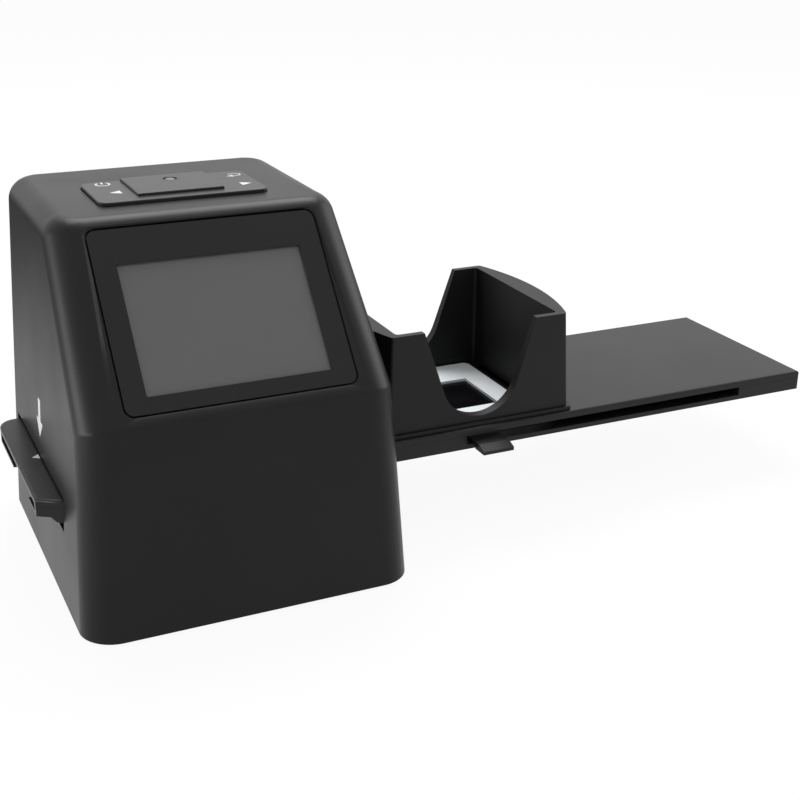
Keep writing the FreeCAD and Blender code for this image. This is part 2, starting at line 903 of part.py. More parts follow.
def make_light_box():
    low = led_board_height + seat_gap + board_thickness + seat_gap
    high = guide_floor_low - seat_gap
    inner_base_x = light_box_base_width - 2 * light_box_wall
    inner_base_y = light_box_base_depth - 2 * light_box_wall
    inner_top_x = diffuser_width - 2 * diffuser_ledge
    inner_top_y = diffuser_depth - 2 * diffuser_ledge
    outer = frustum(light_box_base_width, light_box_base_depth, low,
                    inner_top_x + 2 * light_box_wall, inner_top_y + 2 * light_box_wall, high)
    inner = frustum(inner_base_x, inner_base_y, low, inner_top_x, inner_top_y, high)
    return cut(outer, inner)


def make_backlight_leds():
    leds = []
    low = led_board_height + seat_gap + board_thickness
    for column in range(led_columns):
        for row in range(led_rows):
            x = (column - (led_columns - 1) / 2) * led_pitch_x
            y = gate_y + (row - (led_rows - 1) / 2) * led_pitch_y
            leds.append(box(x - led_size / 2, x + led_size / 2, y - led_size / 2,
                            y + led_size / 2, low, low + led_height))
    return Part.makeCompound(leds)


# Camera

def make_camera_bracket():
    low = guide_roof + seat_gap + guide_roof_thickness + seat_gap
    outer = frustum(tower_base_width, tower_base_depth, low, tower_top_width, tower_top_depth,
                    tower_top_height)
    inner = frustum(tower_base_width - 2 * tower_wall, tower_base_depth - 2 * tower_wall, low,
                    tower_top_width - 2 * tower_wall, tower_top_depth - 2 * tower_wall,
                    tower_top_height - tower_wall)
    foot = box(-tower_base_width / 2 - tower_foot_height, tower_base_width / 2
               + tower_foot_height, gate_y - tower_base_depth / 2 - tower_foot_height,
               gate_y + tower_base_depth / 2 + tower_foot_height, low,
               low + tower_foot_height)
    tower = join(outer, foot)
    tower = cut(tower, inner)
    posts = []
    for sx in (-1, 1):
        for sy in (-1, 1):
            x = sx * (sensor_board_width - sensor_post_size) / 2
            y = gate_y + sy * (sensor_board_depth - sensor_post_size) / 2
            posts.append(box(x - sensor_post_size / 2, x + sensor_post_size / 2,
                             y - sensor_post_size / 2, y + sensor_post_size / 2,
                             tower_top_height - tower_wall, sensor_board_low))
    tower = join(tower, *posts)
    bore = disc(0, gate_y, tower_top_height - tower_wall - overrun,
                tower_top_height + overrun, barrel_radius + hole_gap)
    return cut(tower, bore)


def make_lens_barrel():
    top = tower_top_height + seat_gap
    tube = disc(0, gate_y, top - barrel_length, top, barrel_radius)
    flange = disc(0, gate_y, top, top + barrel_flange_height, barrel_flange_radius)
    low = top - barrel_length
    bore = disc(0, gate_y, low - overrun, top + barrel_flange_height + overrun, barrel_bore
                - lens_edge / 2)
    seat = disc(0, gate_y, low - overrun, low + lens_depth + lens_edge / 2, barrel_bore)
    return cut(join(tube, flange), bore, seat)


def make_camera_lens():
    """A glass lens, convex on both faces: a disc trimmed by two spheres."""
    sag = lens_crown / 2
    ball = (lens_radius ** 2 + sag ** 2) / (sag + sag)
    low = tower_top_height + seat_gap - barrel_length + lens_depth - lens_crown
    high = low + lens_edge
    blank = disc(0, gate_y, low - sag, high + sag, lens_radius)
    lower = Part.makeSphere(ball, V(0, gate_y, low - sag + ball))
    upper = Part.makeSphere(ball, V(0, gate_y, high + sag - ball))
    return blank.common(lower).common(upper)


def make_sensor_board():
    return box(-sensor_board_width / 2, sensor_board_width / 2,
               gate_y - sensor_board_depth / 2, gate_y + sensor_board_depth / 2,
               sensor_board_low + seat_gap,
               sensor_board_low + seat_gap + sensor_board_thickness)


def make_image_sensor():
    top = sensor_board_low + seat_gap
    return box(-sensor_width / 2, sensor_width / 2, gate_y - sensor_depth / 2,
               gate_y + sensor_depth / 2, top - sensor_thickness, top)


# Main board and its sockets

def make_main_board():
    board = box(-main_board_half, main_board_half, main_board_y, main_board_back, main_board_low,
                main_board_high)
    corners = [e for e in board.Edges if abs(e.Vertexes[0].Y - e.Vertexes[1].Y) > 0]
    board = board.makeFillet(boss_radius, corners)
    for x, z in board_boss_places():
        board = cut(board, rod_y(x, z, main_board_y - overrun, main_board_back + overrun,
                                 screw_radius + hole_gap))
    return board


def make_usb_socket():
    mouth = back_at(usb_z, 0) - socket_recess
    half_x = usb_width / 2
    half_z = usb_height / 2
    shell = box(usb_x - half_x, usb_x + half_x, main_board_back, mouth, usb_z - half_z,
                usb_z + half_z)
    low_corners = [e for e in shell.Edges
                   if abs(e.Vertexes[0].Y - e.Vertexes[1].Y) > 0 and middle(e).z < usb_z]
    shell = shell.makeChamfer(usb_height / 4, low_corners)
    hollow = box(usb_x - half_x + usb_shell, usb_x + half_x - usb_shell,
                 main_board_back + overrun, mouth + overrun, usb_z - half_z / 2,
                 usb_z + half_z - usb_shell)
    tongue = box(usb_x - usb_tongue_width / 2, usb_x + usb_tongue_width / 2, main_board_back,
                 mouth - overrun, usb_z + half_z / 4,
                 usb_z + half_z / 4 + usb_tongue_thickness)
    return join(cut(shell, hollow), tongue)


def make_video_jack():
    tip = back_at(video_z, 0) - socket_recess
    body = box(video_x - video_body / 2, video_x + video_body / 2, main_board_back,
               main_board_back + video_body_depth, video_z - video_body / 2,
               video_z + video_body / 2)
    nose = rod_y(video_x, video_z, main_board_back + video_body_depth, tip, video_nose_radius)
    bore = rod_y(video_x, video_z, main_board_back + overrun, tip + overrun, video_bore)
    return cut(join(body, nose), bore)


def make_card_socket():
    mouth = side_at(card_z + card_slot_height / 2, wall) - fit_gap
    deep = mouth - card_socket_length
    height = card_slot_height / 2 + card_socket_wall
    low_y = main_board_y - 2 * card_socket_wall - card_slot_width
    socket = box(deep, mouth, low_y, main_board_y, card_z - height, card_z + height)
    slot = box(deep + overrun, mouth + overrun, low_y + card_socket_wall,
               main_board_y - card_socket_wall, card_z - card_slot_height / 2,
               card_z + card_slot_height / 2)
    return cut(socket, slot)


def make_board_chips():
    chips = []
    for x, z, width, height, thickness in (
            (processor_x, processor_z, processor_size, processor_size, processor_thickness),
            (memory_x, memory_z, memory_width, memory_height, memory_thickness),
            (-memory_x, memory_z, memory_width, memory_height, memory_thickness)):
        chips.append(box(x - width / 2, x + width / 2, main_board_y - thickness, main_board_y,
                         z - height / 2, z + height / 2))
    return Part.makeCompound(chips)


# Slide feeder tray

def tray_plan(z0, z1):
    """Plan of the feeder: its left end is tapered in front and rounded behind."""
    shoulder = tray_left + tray_lead_length
    points = [(tray_left, tray_front + tray_lead_width), (shoulder, tray_front),
              (tray_right, tray_front), (tray_right, tray_back), (tray_left, tray_back)]
    plan = prism_z(points, z0, z1)
    corner = [e for e in plan.Edges
              if all(v.X < shoulder and v.Y > gate_y + slide_size / 2 for v in e.Vertexes)]
    return plan.makeFillet(tray_lead_radius, corner)


def gate_window(z0, z1):
    return box(-gate_window_x / 2, gate_window_x / 2, gate_y - gate_window_y / 2,
               gate_y + gate_window_y / 2, z0, z1)


def hopper_cavity(z0, z1):
    return rounded_block(hopper_x - hopper_cavity_x / 2, hopper_x + hopper_cavity_x / 2,
                         gate_y - hopper_cavity_y / 2, gate_y + hopper_cavity_y / 2,
                         z0, z1, hopper_corner)


def tray_screw_places():
    return [(x, y) for x in (tray_left + tray_screw_left_inset,
                             hopper_x - tray_screw_hopper_inset,
                             tray_right - tray_screw_right_inset)
            for y in (tray_front + tray_screw_margin, tray_back - tray_screw_margin)]


def hopper_peg_places():
    half_x = hopper_cavity_x / 2 - hopper_peg_inset
    half_y = hopper_cavity_y / 2 + hopper_front_wall / 2
    return [(hopper_x + sx * half_x, gate_y + sy * half_y) for sx in (-1, 1) for sy in (-1, 1)]


def make_tray_upper_shell():
    plate = tray_plan(tray_seam, tray_top)
    rim = [e for e in plate.Edges if all(abs(v.Z - tray_top) < hole_gap for v in e.Vertexes)]
    plate = plate.makeFillet(tray_edge_radius, rim)
    relief = box(tray_left - overrun, tray_right - tray_end_wall, channel_front, channel_back,
                 tray_seam - overrun, tray_seam + channel_relief)
    plate = cut(plate, relief, gate_window(tray_seam - overrun, tray_top + overrun),
                hopper_cavity(tray_seam - overrun, tray_top + overrun))
    for x, y in tray_screw_places():
        plate = cut(plate, disc(x, y, tray_low, tray_low + screw_head_height
                                + tray_screw_length + seat_gap, screw_radius + hole_gap))
    for x, y in hopper_peg_places():
        plate = cut(plate, disc(x, y, tray_seam - overrun, tray_top + overrun,
                                hopper_peg_radius + hole_gap))
    return plate


def make_tray_lower_shell():
    """The trough, whose floor rises to a thin lip where the slides come out."""
    seam = tray_seam - seat_gap
    trough = tray_plan(tray_low, seam)
    outside = tray_left - overrun
    end = tray_right - tray_end_wall
    channel = prism_y([(outside, seam + overrun), (outside, tray_lip_top),
                       (tray_step_x, tray_lip_top), (tray_slope_x, channel_base),
                       (end, channel_base), (end, seam + overrun)], channel_front, channel_back)
    slot = box(pusher_slot_left, pusher_slot_right, tray_front - overrun,
               channel_front + overrun, pusher_slot_low, seam + overrun)
    notch = disc(tray_left, finger_notch_y, tray_low - overrun, seam + overrun,
                 finger_notch_radius)
    step = prism_y([(outside, tray_low - tray_end_step), (outside, tray_end_low),
                    (tray_step_x, tray_end_low),
                    (tray_slope_x + tray_end_slope, tray_low - tray_end_step)],
                   tray_front - overrun, tray_back + overrun)
    trough = cut(trough, channel, slot, notch, step, gate_window(tray_low - overrun, seam))
    for x, y in tray_screw_places():
        trough = cut(trough, disc(x, y, tray_low - overrun, seam + overrun,
                                  screw_radius + hole_gap),
                     disc(x, y, tray_low - overrun, tray_low + screw_head_height,
                          screw_head_radius + hole_gap))
    return trough


def make_tray_screws():
    screw = make_screw(screw_radius, tray_screw_length, screw_head_radius,
                       screw_head_height - seat_gap)
    return Part.makeCompound([placed(screw, x, y, tray_low + screw_head_height)
                              for x, y in tray_screw_places()])


# Hopper

def bowed_outline(grow, z):
    """Plan of the hopper: straight front and back, ends bowed outwards."""
    half_x = hopper_cavity_x / 2 + hopper_end_wall + grow
    half_y = hopper_cavity_y / 2 + hopper_front_wall + grow
    left = hopper_x - half_x
    right = hopper_x + half_x
    front = gate_y - half_y
    back = gate_y + half_y
    sides = [Part.LineSegment(V(left, front, z), V(right, front, z)),
             Part.Arc(V(right, front, z), V(right + hopper_bulge, gate_y, z),
                      V(right, back, z)),
             Part.LineSegment(V(right, back, z), V(left, back, z)),
             Part.Arc(V(left, back, z), V(left - hopper_bulge, gate_y, z),
                      V(left, front, z))]
    return Part.Wire([side.toShape() for side in sides])


def finger_cut_profile():
    """Section of the U cut: a round floor with straight sides flaring to the top."""
    centre_z = hopper_base + hopper_cut_floor + hopper_cut_radius
    rise = hopper_top - centre_z
    reach = math.hypot(hopper_cut_top_half, rise)
    start = math.atan2(rise, hopper_cut_top_half) - math.acos(hopper_cut_radius / reach)
    tangent = V(hopper_cut_radius * math.cos(start), 0, hopper_cut_radius * math.sin(start))
    low = V(hopper_x, 0, centre_z - hopper_cut_radius)
    centre = V(hopper_x, 0, centre_z)
    right_point = centre + tangent
    left_point = centre + V(-tangent.x, 0, tangent.z)
    flare = hopper_cut_top_half + overrun * (hopper_cut_top_half - tangent.x) / rise
    right_top = V(hopper_x + flare, 0, hopper_top + overrun)
    left_top = V(hopper_x - flare, 0, hopper_top + overrun)
    edges = [Part.LineSegment(left_top, left_point), Part.Arc(left_point, low, right_point),
             Part.LineSegment(right_point, right_top), Part.LineSegment(right_top, left_top)]
    return Part.Face(Part.Wire([edge.toShape() for edge in edges]))


def make_hopper():
    base = hopper_base + seat_gap
    walls = Part.makeLoft([bowed_outline(0, base), bowed_outline(-hopper_taper, hopper_top)],
                          True, True)
    corners = [e for e in walls.Edges
               if abs(e.Vertexes[0].Z - e.Vertexes[-1].Z) > hopper_height / 2]
    walls = walls.makeFillet(hopper_corner, corners)
    flange = Part.Face(bowed_outline(hopper_flange_lip, base)).extrude(
        V(0, 0, hopper_flange_height))
    body = join(walls, flange)
    body = cut(body, hopper_cavity(base - overrun, hopper_top + overrun))
    finger_cut = finger_cut_profile()
    finger_cut.translate(V(0, -housing_depth, 0))
    body = cut(body, finger_cut.extrude(V(0, housing_depth * 2, 0)))
    pegs = [disc(x, y, base - hopper_peg_depth, base + hopper_flange_height / 2,
                 hopper_peg_radius) for x, y in hopper_peg_places()]
    return join(body, *pegs)


# Pusher and slide

def make_pusher():
    half = slide_channel_width / 2 - pusher_side_gap
    plate = rounded_block(pusher_left, pusher_right, gate_y - half, gate_y + half,
                          pusher_base, pusher_top, slide_corner / 2)
    right = pusher_tab_left + pusher_tab_width
    arm = box(pusher_tab_left, right, tray_front - pusher_side_gap, gate_y,
              pusher_top - pusher_arm_thickness, pusher_top)
    outer = tray_front - pusher_side_gap
    nose = outer - pusher_tab_reach
    low = pusher_top - pusher_tab_drop - pusher_tab_nose / 2
    grip = prism_x([(outer, pusher_top), (outer, pusher_top - pusher_arm_thickness),
                    (outer - pusher_tab_nose, low), (nose, low),
                    (nose, low + pusher_tab_nose), (outer - pusher_tab_reach / 2, pusher_top)],
                   pusher_tab_left, right)
    return join(plate, arm, grip)


def slide_centre_x():
    return hopper_x - hopper_cavity_x / 2 + slide_left_gap + slide_size / 2


def make_slide_half(base):
    x = slide_centre_x()
    half = slide_size / 2
    frame = rounded_block(x - half, x + half, gate_y - half, gate_y + half, base,
                          base + slide_half_thickness, slide_corner)
    return cut(frame, box(x - slide_window_x / 2, x + slide_window_x / 2,
                          gate_y - slide_window_y / 2, gate_y + slide_window_y / 2,
                          base - overrun, base + slide_half_thickness + overrun))


def film_block(grow, z0, z1):
    x = slide_centre_x()
    half_x = slide_window_x / 2 + film_margin + grow
    half_y = slide_window_y / 2 + film_margin + grow
    return box(x - half_x, x + half_x, gate_y - half_y, gate_y + half_y, z0, z1)


def make_slide_mount_base():
    top = slide_base + slide_half_thickness
    return cut(make_slide_half(slide_base),
               film_block(hole_gap, top - film_thickness, top + overrun))


def make_slide_mount_cover():
    return make_slide_half(slide_base + slide_half_thickness)


def make_slide_film():
    top = slide_base + slide_half_thickness
    return film_block(0, top - film_thickness, top)


def main():
    os.makedirs("parts", exist_ok=True)
    nodes = {
        "housing_shell": make_housing_shell(),
        "bottom_cover": make_bottom_cover(),
        "rubber_feet": make_rubber_feet(),
        "housing_screws": make_housing_screws(),
        "board_screws": make_board_screws(),
        "screen_window": make_screen_window(),
        "lcd_panel": make_lcd_panel(),
        "lcd_frame": make_lcd_frame(),
        "power_key": make_corner_key("power_key"),
        "left_key": make_corner_key("left_key"),
        "right_key": make_corner_key("right_key"),
        "mode_key": make_corner_key("mode_key"),
        "ok_key": make_ok_key(),
        "status_lens": make_status_lens(),
        "button_board": make_button_board(),
        "button_switches": make_button_switches(),
        "status_led": make_status_led(),
        "tunnel_floor": make_tunnel_floor(),
        "tunnel_roof": make_tunnel_roof(),
        "detent_springs": make_detent_springs(),
        "diffuser": make_diffuser(),
        "led_board": make_led_board(),
        "light_box": make_light_box(),
        "backlight_leds": make_backlight_leds(),
        "camera_bracket": make_camera_bracket(),
        "lens_barrel": make_lens_barrel(),
        "camera_lens": make_camera_lens(),
        "sensor_board": make_sensor_board(),
        "image_sensor": make_image_sensor(),
        "main_board": make_main_board(),
        "usb_socket": make_usb_socket(),
        "video_jack": make_video_jack(),
        "card_socket": make_card_socket(),
        "board_chips": make_board_chips(),
        "tray_upper_shell": make_tray_upper_shell(),
        "tray_lower_shell": make_tray_lower_shell(),
        "tray_screws": make_tray_screws(),
        "hopper": make_hopper(),
        "pusher": make_pusher(),
        "slide_mount_base": make_slide_mount_base(),
        "slide_mount_cover": make_slide_mount_cover(),
        "slide_film": make_slide_film(),
    }
    for name, shape in nodes.items():
        export(name, shape)
        print(name, len(shape.Solids), round(shape.Volume, 1), shape.isValid())


main()
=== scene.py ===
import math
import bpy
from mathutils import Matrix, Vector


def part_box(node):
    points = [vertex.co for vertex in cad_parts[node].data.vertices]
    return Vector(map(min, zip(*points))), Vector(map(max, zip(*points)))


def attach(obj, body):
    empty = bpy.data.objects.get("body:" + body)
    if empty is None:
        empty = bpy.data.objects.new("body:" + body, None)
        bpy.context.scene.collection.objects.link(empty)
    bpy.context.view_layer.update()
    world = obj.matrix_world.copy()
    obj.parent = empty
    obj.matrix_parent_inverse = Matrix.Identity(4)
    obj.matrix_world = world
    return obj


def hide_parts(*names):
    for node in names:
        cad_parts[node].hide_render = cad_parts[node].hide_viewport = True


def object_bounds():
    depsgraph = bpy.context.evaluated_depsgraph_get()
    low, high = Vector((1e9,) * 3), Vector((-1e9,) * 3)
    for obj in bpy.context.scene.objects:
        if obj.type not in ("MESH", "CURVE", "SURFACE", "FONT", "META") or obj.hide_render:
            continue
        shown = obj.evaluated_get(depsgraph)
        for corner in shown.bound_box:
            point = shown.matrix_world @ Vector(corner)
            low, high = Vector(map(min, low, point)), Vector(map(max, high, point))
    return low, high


bl_info = {
    "name": "Film scanner dressing",
    "version": (1, 0, 0),
    "blender": (4, 5, 0),
    "location": "3D View > Sidebar > Film scanner",
    "description": "Dresses a film scanner and its slide feeder, and sets the studio round them",
    "category": "Object",
}

import bmesh
import bpy
from mathutils import Matrix, Vector

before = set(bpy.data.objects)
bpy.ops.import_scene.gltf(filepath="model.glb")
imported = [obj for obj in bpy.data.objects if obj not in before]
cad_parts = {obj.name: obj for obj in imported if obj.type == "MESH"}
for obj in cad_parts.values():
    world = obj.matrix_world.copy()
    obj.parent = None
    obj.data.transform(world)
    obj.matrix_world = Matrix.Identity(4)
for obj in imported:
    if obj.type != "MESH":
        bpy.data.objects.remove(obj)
CAD_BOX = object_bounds()

MM = 0.001
FACE_TILT = math.radians(39.9)
SIDE_DRAFT = math.radians(3.5)
HOUSING_HALF_WIDTH = 46.5 * MM
HAIR = 0.02 * MM
# How far the window's middle lies above the middle of its box, whose corners are rounded off
WINDOW_RISE = 0.05 * MM


def node_centre(node):
    low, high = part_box(node)
    return (low + high) / 2


# Sizes and colours that can be changed


def tone(name, description, default):
    """A colour setting."""
    return bpy.props.FloatVectorProperty(
        name=name, description=description, subtype="COLOR", size=3, min=0, max=1,
        default=default)


def length(name, description, millimetres):
    """A length setting, with its default in millimetres."""
    return bpy.props.FloatProperty(
        name=name, description=description, unit="LENGTH", default=millimetres * MM)


def power(name, description, watts):
    """A lamp's power setting."""
    return bpy.props.FloatProperty(
        name=name, description=description, unit="POWER", min=0, default=watts)


def roughness_setting(description, roughness):
    """A roughness setting."""
    return bpy.props.FloatProperty(
        name="Roughness", description=description, min=0, max=1, default=roughness)


class HousingSettings(bpy.types.PropertyGroup):
    colour: tone("Housing colour", "Colour of the black moulding", (0.0060, 0.0060, 0.0064))
    cover_colour: tone("Cover colour", "Colour of the bottom cover", (0.012, 0.012, 0.0125))
    roughness: roughness_setting("Roughness of the satin moulding", 0.37)
    grain: bpy.props.FloatProperty(
        name="Grain", description="Size of the moulded grain", unit="LENGTH",
        min=0.0001, max=0.002, default=0.00042)
    smooth_angle: bpy.props.FloatProperty(
        name="Smooth angle", description="Edges flatter than this shade smooth",
        subtype="ANGLE", min=0, max=math.pi, default=math.radians(24))
    mark_colour: tone("Mark colour", "Colour of the loading arrow and the tray's mark",
                      (0.56, 0.57, 0.58))


class WindowSettings(bpy.types.PropertyGroup):
    width: length("Window width", "Width of the clear window", 62.5)
    height: length("Window height", "Height of the clear window along the slope", 51.4)
    thickness: length("Window thickness", "Thickness of the clear window", 1.2)
    corner: length("Window corner", "Corner radius of the window", 2.6)
    opening_width: length("Opening width", "Width of the opening in the printed border", 50.0)
    opening_height: length("Opening height", "Height of the opening in the printed border", 36.5)
    opening_drop: length("Opening drop", "How far the opening sits below the middle", 2.74)
    display_margin: length("Display margin", "How far the display goes on behind the border", 0.6)
    display_depth: length("Display depth", "Window's middle to where the display is seen", 0.28)
    rim: length("Rim", "Rounded rim of the window, free of print", 0.18)
    mask_colour: tone("Mask colour", "Colour of the printed border", (0.0060, 0.0060, 0.0064))
    display_colour: tone("Display colour", "Colour of the display when it is off",
                         (0.080, 0.080, 0.080))


class KeySettings(bpy.types.PropertyGroup):
    colour: tone("Key colour", "Colour of the key caps", (0.016, 0.016, 0.0165))
    icon_colour: tone("Icon colour", "Colour of the printed icons", (0.62, 0.63, 0.64))
    icon_size: length("Icon size", "Height of the icons", 3.0)
    stroke: length("Stroke", "Line width of the icons", 0.5)


class FeederSettings(bpy.types.PropertyGroup):
    tray_colour: tone("Tray colour", "Colour of the feeder's tray", (0.011, 0.011, 0.0115))
    hopper_colour: tone("Hopper colour", "Colour of the slide hopper", (0.0050, 0.0050, 0.0054))
    pusher_colour: tone("Pusher colour", "Colour of the pusher", (0.012, 0.012, 0.0125))
    roughness: roughness_setting("Roughness of the feeder's mouldings", 0.44)


class SlideSettings(bpy.types.PropertyGroup):
    mount_colour: tone("Mount colour", "Colour of the slide mount", (0.78, 0.82, 0.835))
    film_colour: tone("Film colour", "Colour of the processed film", (0.0025, 0.0025, 0.003))


class InnerSettings(bpy.types.PropertyGroup):
    board_colour: tone("Board colour", "Colour of the circuit boards", (0.012, 0.085, 0.040))
    contact_colour: tone("Contact colour", "Colour of the plated contacts", (0.80, 0.62, 0.30))
    contact_pitch: length("Contact pitch", "Distance between the USB contacts", 0.8)
    card_pitch: length("Card pitch", "Distance between the card contacts", 2.5)


class StageSettings(bpy.types.PropertyGroup):
    floor_colour: tone("Floor colour", "Colour of the studio floor", (0.80, 0.80, 0.80))
    world_strength: bpy.props.FloatProperty(
        name="Room light", description="Strength of the even light of the room",
        min=0, default=0.80)
    top_lamp: power("Top lamp", "Power of the soft lamp above and behind", 6.0)
    side_lamp: power("Side lamp", "Power of the soft lamp on the left", 1.0)
    end_lamp: power("End lamp", "Power of the soft lamp past the feeder's right end", 1.0)
    lens: bpy.props.FloatProperty(
        name="Lens", description="Focal length on a 36 mm wide sensor, in millimetres",
        min=1, default=60.27)
    camera_place: bpy.props.FloatVectorProperty(
        name="Camera place", description="Where the camera stands", subtype="XYZ",
        unit="LENGTH", size=3, default=(-0.09946, -0.35139, 0.18824))
    camera_turn: bpy.props.FloatVectorProperty(
        name="Camera turn", description="Azimuth, elevation and roll of the camera",
        unit="ROTATION", size=3,
        default=(math.radians(-25.15), math.radians(21.93), math.radians(0.63)))


# Materials

# Most of a noise's values lie between these two
NOISE_LOW, NOISE_HIGH = 0.3, 0.7


class Sheet:
    """A material's node sheet, with short ways to add and join nodes."""

    def __init__(self, name):
        self.material = bpy.data.materials.new(name)
        self.material.use_nodes = True
        self.tree = self.material.node_tree
        self.tree.nodes.clear()

    def add(self, kind, **values):
        node = self.tree.nodes.new(kind)
        for key, value in values.items():
            setattr(node, key, value)
        return node

    def join(self, source, target):
        self.tree.links.new(source, target)

    def output(self, shader):
        end = self.add("ShaderNodeOutputMaterial")
        self.join(shader, end.inputs["Surface"])
        return self.material

    def object_point(self, stretch=(1, 1, 1)):
        place = self.add("ShaderNodeTexCoord")
        mapping = self.add("ShaderNodeMapping")
        mapping.inputs["Scale"].default_value = stretch
        self.join(place.outputs["Object"], mapping.inputs["Vector"])
        return mapping.outputs["Vector"]

    def noise(self, point, size, detail=2.0, roughness=0.5):
        node = self.add("ShaderNodeTexNoise")
        node.inputs["Scale"].default_value = 1 / size
        node.inputs["Detail"].default_value = detail
        node.inputs["Roughness"].default_value = roughness
        self.join(point, node.inputs["Vector"])
        return node.outputs["Fac"]

    def remap(self, value, start, end, low=NOISE_LOW, high=NOISE_HIGH):
        """Start to end, while the value goes from low to high."""
        node = self.add("ShaderNodeMapRange")
        for name, setting in (("From Min", low), ("From Max", high),
                              ("To Min", start), ("To Max", end)):
            node.inputs[name].default_value = setting
        self.join(value, node.inputs["Value"])
        return node.outputs["Result"]

    def ramp(self, value, dark, light, low=NOISE_LOW, high=NOISE_HIGH):
        """Dark to light, while the value goes from low to high."""
        node = self.add("ShaderNodeValToRGB")
        node.color_ramp.elements[0].position = low
        node.color_ramp.elements[1].position = high
        node.color_ramp.elements[0].color = (*dark, 1)
        node.color_ramp.elements[1].color = (*light, 1)
        self.join(value, node.inputs["Fac"])
        return node.outputs["Color"]

    def bump(self, height, distance):
        node = self.add("ShaderNodeBump")
        node.inputs["Distance"].default_value = distance
        self.join(height, node.inputs["Height"])
        return node.outputs["Normal"]

    def principled(self, **sockets):
        """The standard shader, with spaces in the sockets' names written as underscores."""
        node = self.add("ShaderNodeBsdfPrincipled")
        for name, value in sockets.items():
            node.inputs[name.replace("_", " ")].default_value = value
        return node


def shade(colour, share):
    """The colour made darker or lighter."""
    return tuple(min(1.0, channel * share) for channel in colour)


def satin_moulding(name, colour, roughness, grain, relief=0.004 * MM, specular=0.19):
    """Black plastic with a fine moulded grain and slight unevenness of gloss."""
    sheet = Sheet(name)
    point = sheet.object_point()
    body = sheet.principled(Specular_IOR_Level=specular)
    fine = sheet.noise(point, size=grain, detail=3.0, roughness=0.6)
    broad = sheet.noise(point, size=28 * MM, detail=3.0)
    sheet.join(sheet.ramp(broad, shade(colour, 0.9), shade(colour, 1.1)),
               body.inputs["Base Color"])
    wander = 0.03
    sheet.join(sheet.remap(broad, roughness - wander, roughness + wander),
               body.inputs["Roughness"])
    sheet.join(sheet.bump(fine, relief), body.inputs["Normal"])
    return sheet.output(body.outputs["BSDF"])


def printed_ink(name, colour, roughness=0.5, specular=0.3):
    """Ink laid on plastic: slightly uneven in tone."""
    sheet = Sheet(name)
    point = sheet.object_point()
    ink = sheet.principled(Roughness=roughness, Specular_IOR_Level=specular)
    patches = sheet.noise(point, size=0.6 * MM)
    sheet.join(sheet.ramp(patches, shade(colour, 0.92), shade(colour, 1.04)),
               ink.inputs["Base Color"])
    return sheet.output(ink.outputs["BSDF"])


def clear_window(name):
    """Clear plastic that light passes straight through; its gloss is on the layers behind."""
    sheet = Sheet(name)
    see = sheet.add("ShaderNodeBsdfTransparent")
    tint = sheet.noise(sheet.object_point(), size=18 * MM, detail=1.0)
    sheet.join(sheet.ramp(tint, (0.965, 0.965, 0.97), (0.975, 0.975, 0.98)), see.inputs["Color"])
    return sheet.output(see.outputs["BSDF"])


def display_off(name, colour):
    """A dark display: faint rows of picture cells under a soft anti-glare coat."""
    cell_pitch = 0.153 * MM
    sheet = Sheet(name)
    point = sheet.object_point()
    cells = sheet.add("ShaderNodeTexWave", wave_type="BANDS", bands_direction="X")
    cells.inputs["Scale"].default_value = 1 / cell_pitch / 2
    sheet.join(point, cells.inputs["Vector"])
    layer = sheet.principled(Roughness=0.32)
    rows = sheet.ramp(cells.outputs["Fac"], shade(colour, 0.97), shade(colour, 1.03),
                      low=0, high=1)
    sheet.join(rows, layer.inputs["Base Color"])
    return sheet.output(layer.outputs["BSDF"])


def slide_plastic(name, colour):
    """Bright injection moulded plastic with a fine matt grain."""
    sheet = Sheet(name)
    point = sheet.object_point()
    body = sheet.principled(Roughness=0.48)
    fine = sheet.noise(point, size=0.35 * MM)
    broad = sheet.noise(point, size=12 * MM)
    sheet.join(sheet.ramp(broad, shade(colour, 0.97), shade(colour, 1.02)),
               body.inputs["Base Color"])
    sheet.join(sheet.bump(fine, distance=0.006 * MM), body.inputs["Normal"])
    return sheet.output(body.outputs["BSDF"])


def processed_film(name, colour):
    """Dense film base with a soft reflection and a dim picture tone."""
    sheet = Sheet(name)
    point = sheet.object_point()
    film = sheet.principled(Roughness=0.22, Specular_IOR_Level=0.05)
    picture = sheet.noise(point, size=9 * MM, detail=3.0)
    sheet.join(sheet.ramp(picture, shade(colour, 0.6), shade(colour, 1.8)),
               film.inputs["Base Color"])
    return sheet.output(film.outputs["BSDF"])


def rubber(name, colour):
    """Dull black rubber with a speckled skin."""
    sheet = Sheet(name)
    point = sheet.object_point()
    body = sheet.principled(Specular_IOR_Level=0.2)
    speck = sheet.noise(point, size=0.5 * MM, detail=4.0, roughness=0.7)
    sheet.join(sheet.ramp(speck, shade(colour, 0.8), shade(colour, 1.3)),
               body.inputs["Base Color"])
    sheet.join(sheet.remap(speck, 0.7, 0.85), body.inputs["Roughness"])
    sheet.join(sheet.bump(speck, distance=0.02 * MM), body.inputs["Normal"])
    return sheet.output(body.outputs["BSDF"])


def rolled_metal(name, colour, roughness):
    """Sheet metal with a drawn grain along one axis."""
    sheet = Sheet(name)
    point = sheet.object_point(stretch=(1, 14, 14))
    metal = sheet.principled(Metallic=1.0)
    streak = sheet.noise(point, size=6 * MM, detail=4.0, roughness=0.65)
    sheet.join(sheet.ramp(streak, shade(colour, 0.88), shade(colour, 1.08)),
               metal.inputs["Base Color"])
    wander = 0.06
    sheet.join(sheet.remap(streak, roughness - wander, roughness + wander),
               metal.inputs["Roughness"])
    sheet.join(sheet.bump(streak, distance=0.004 * MM), metal.inputs["Normal"])
    return sheet.output(metal.outputs["BSDF"])


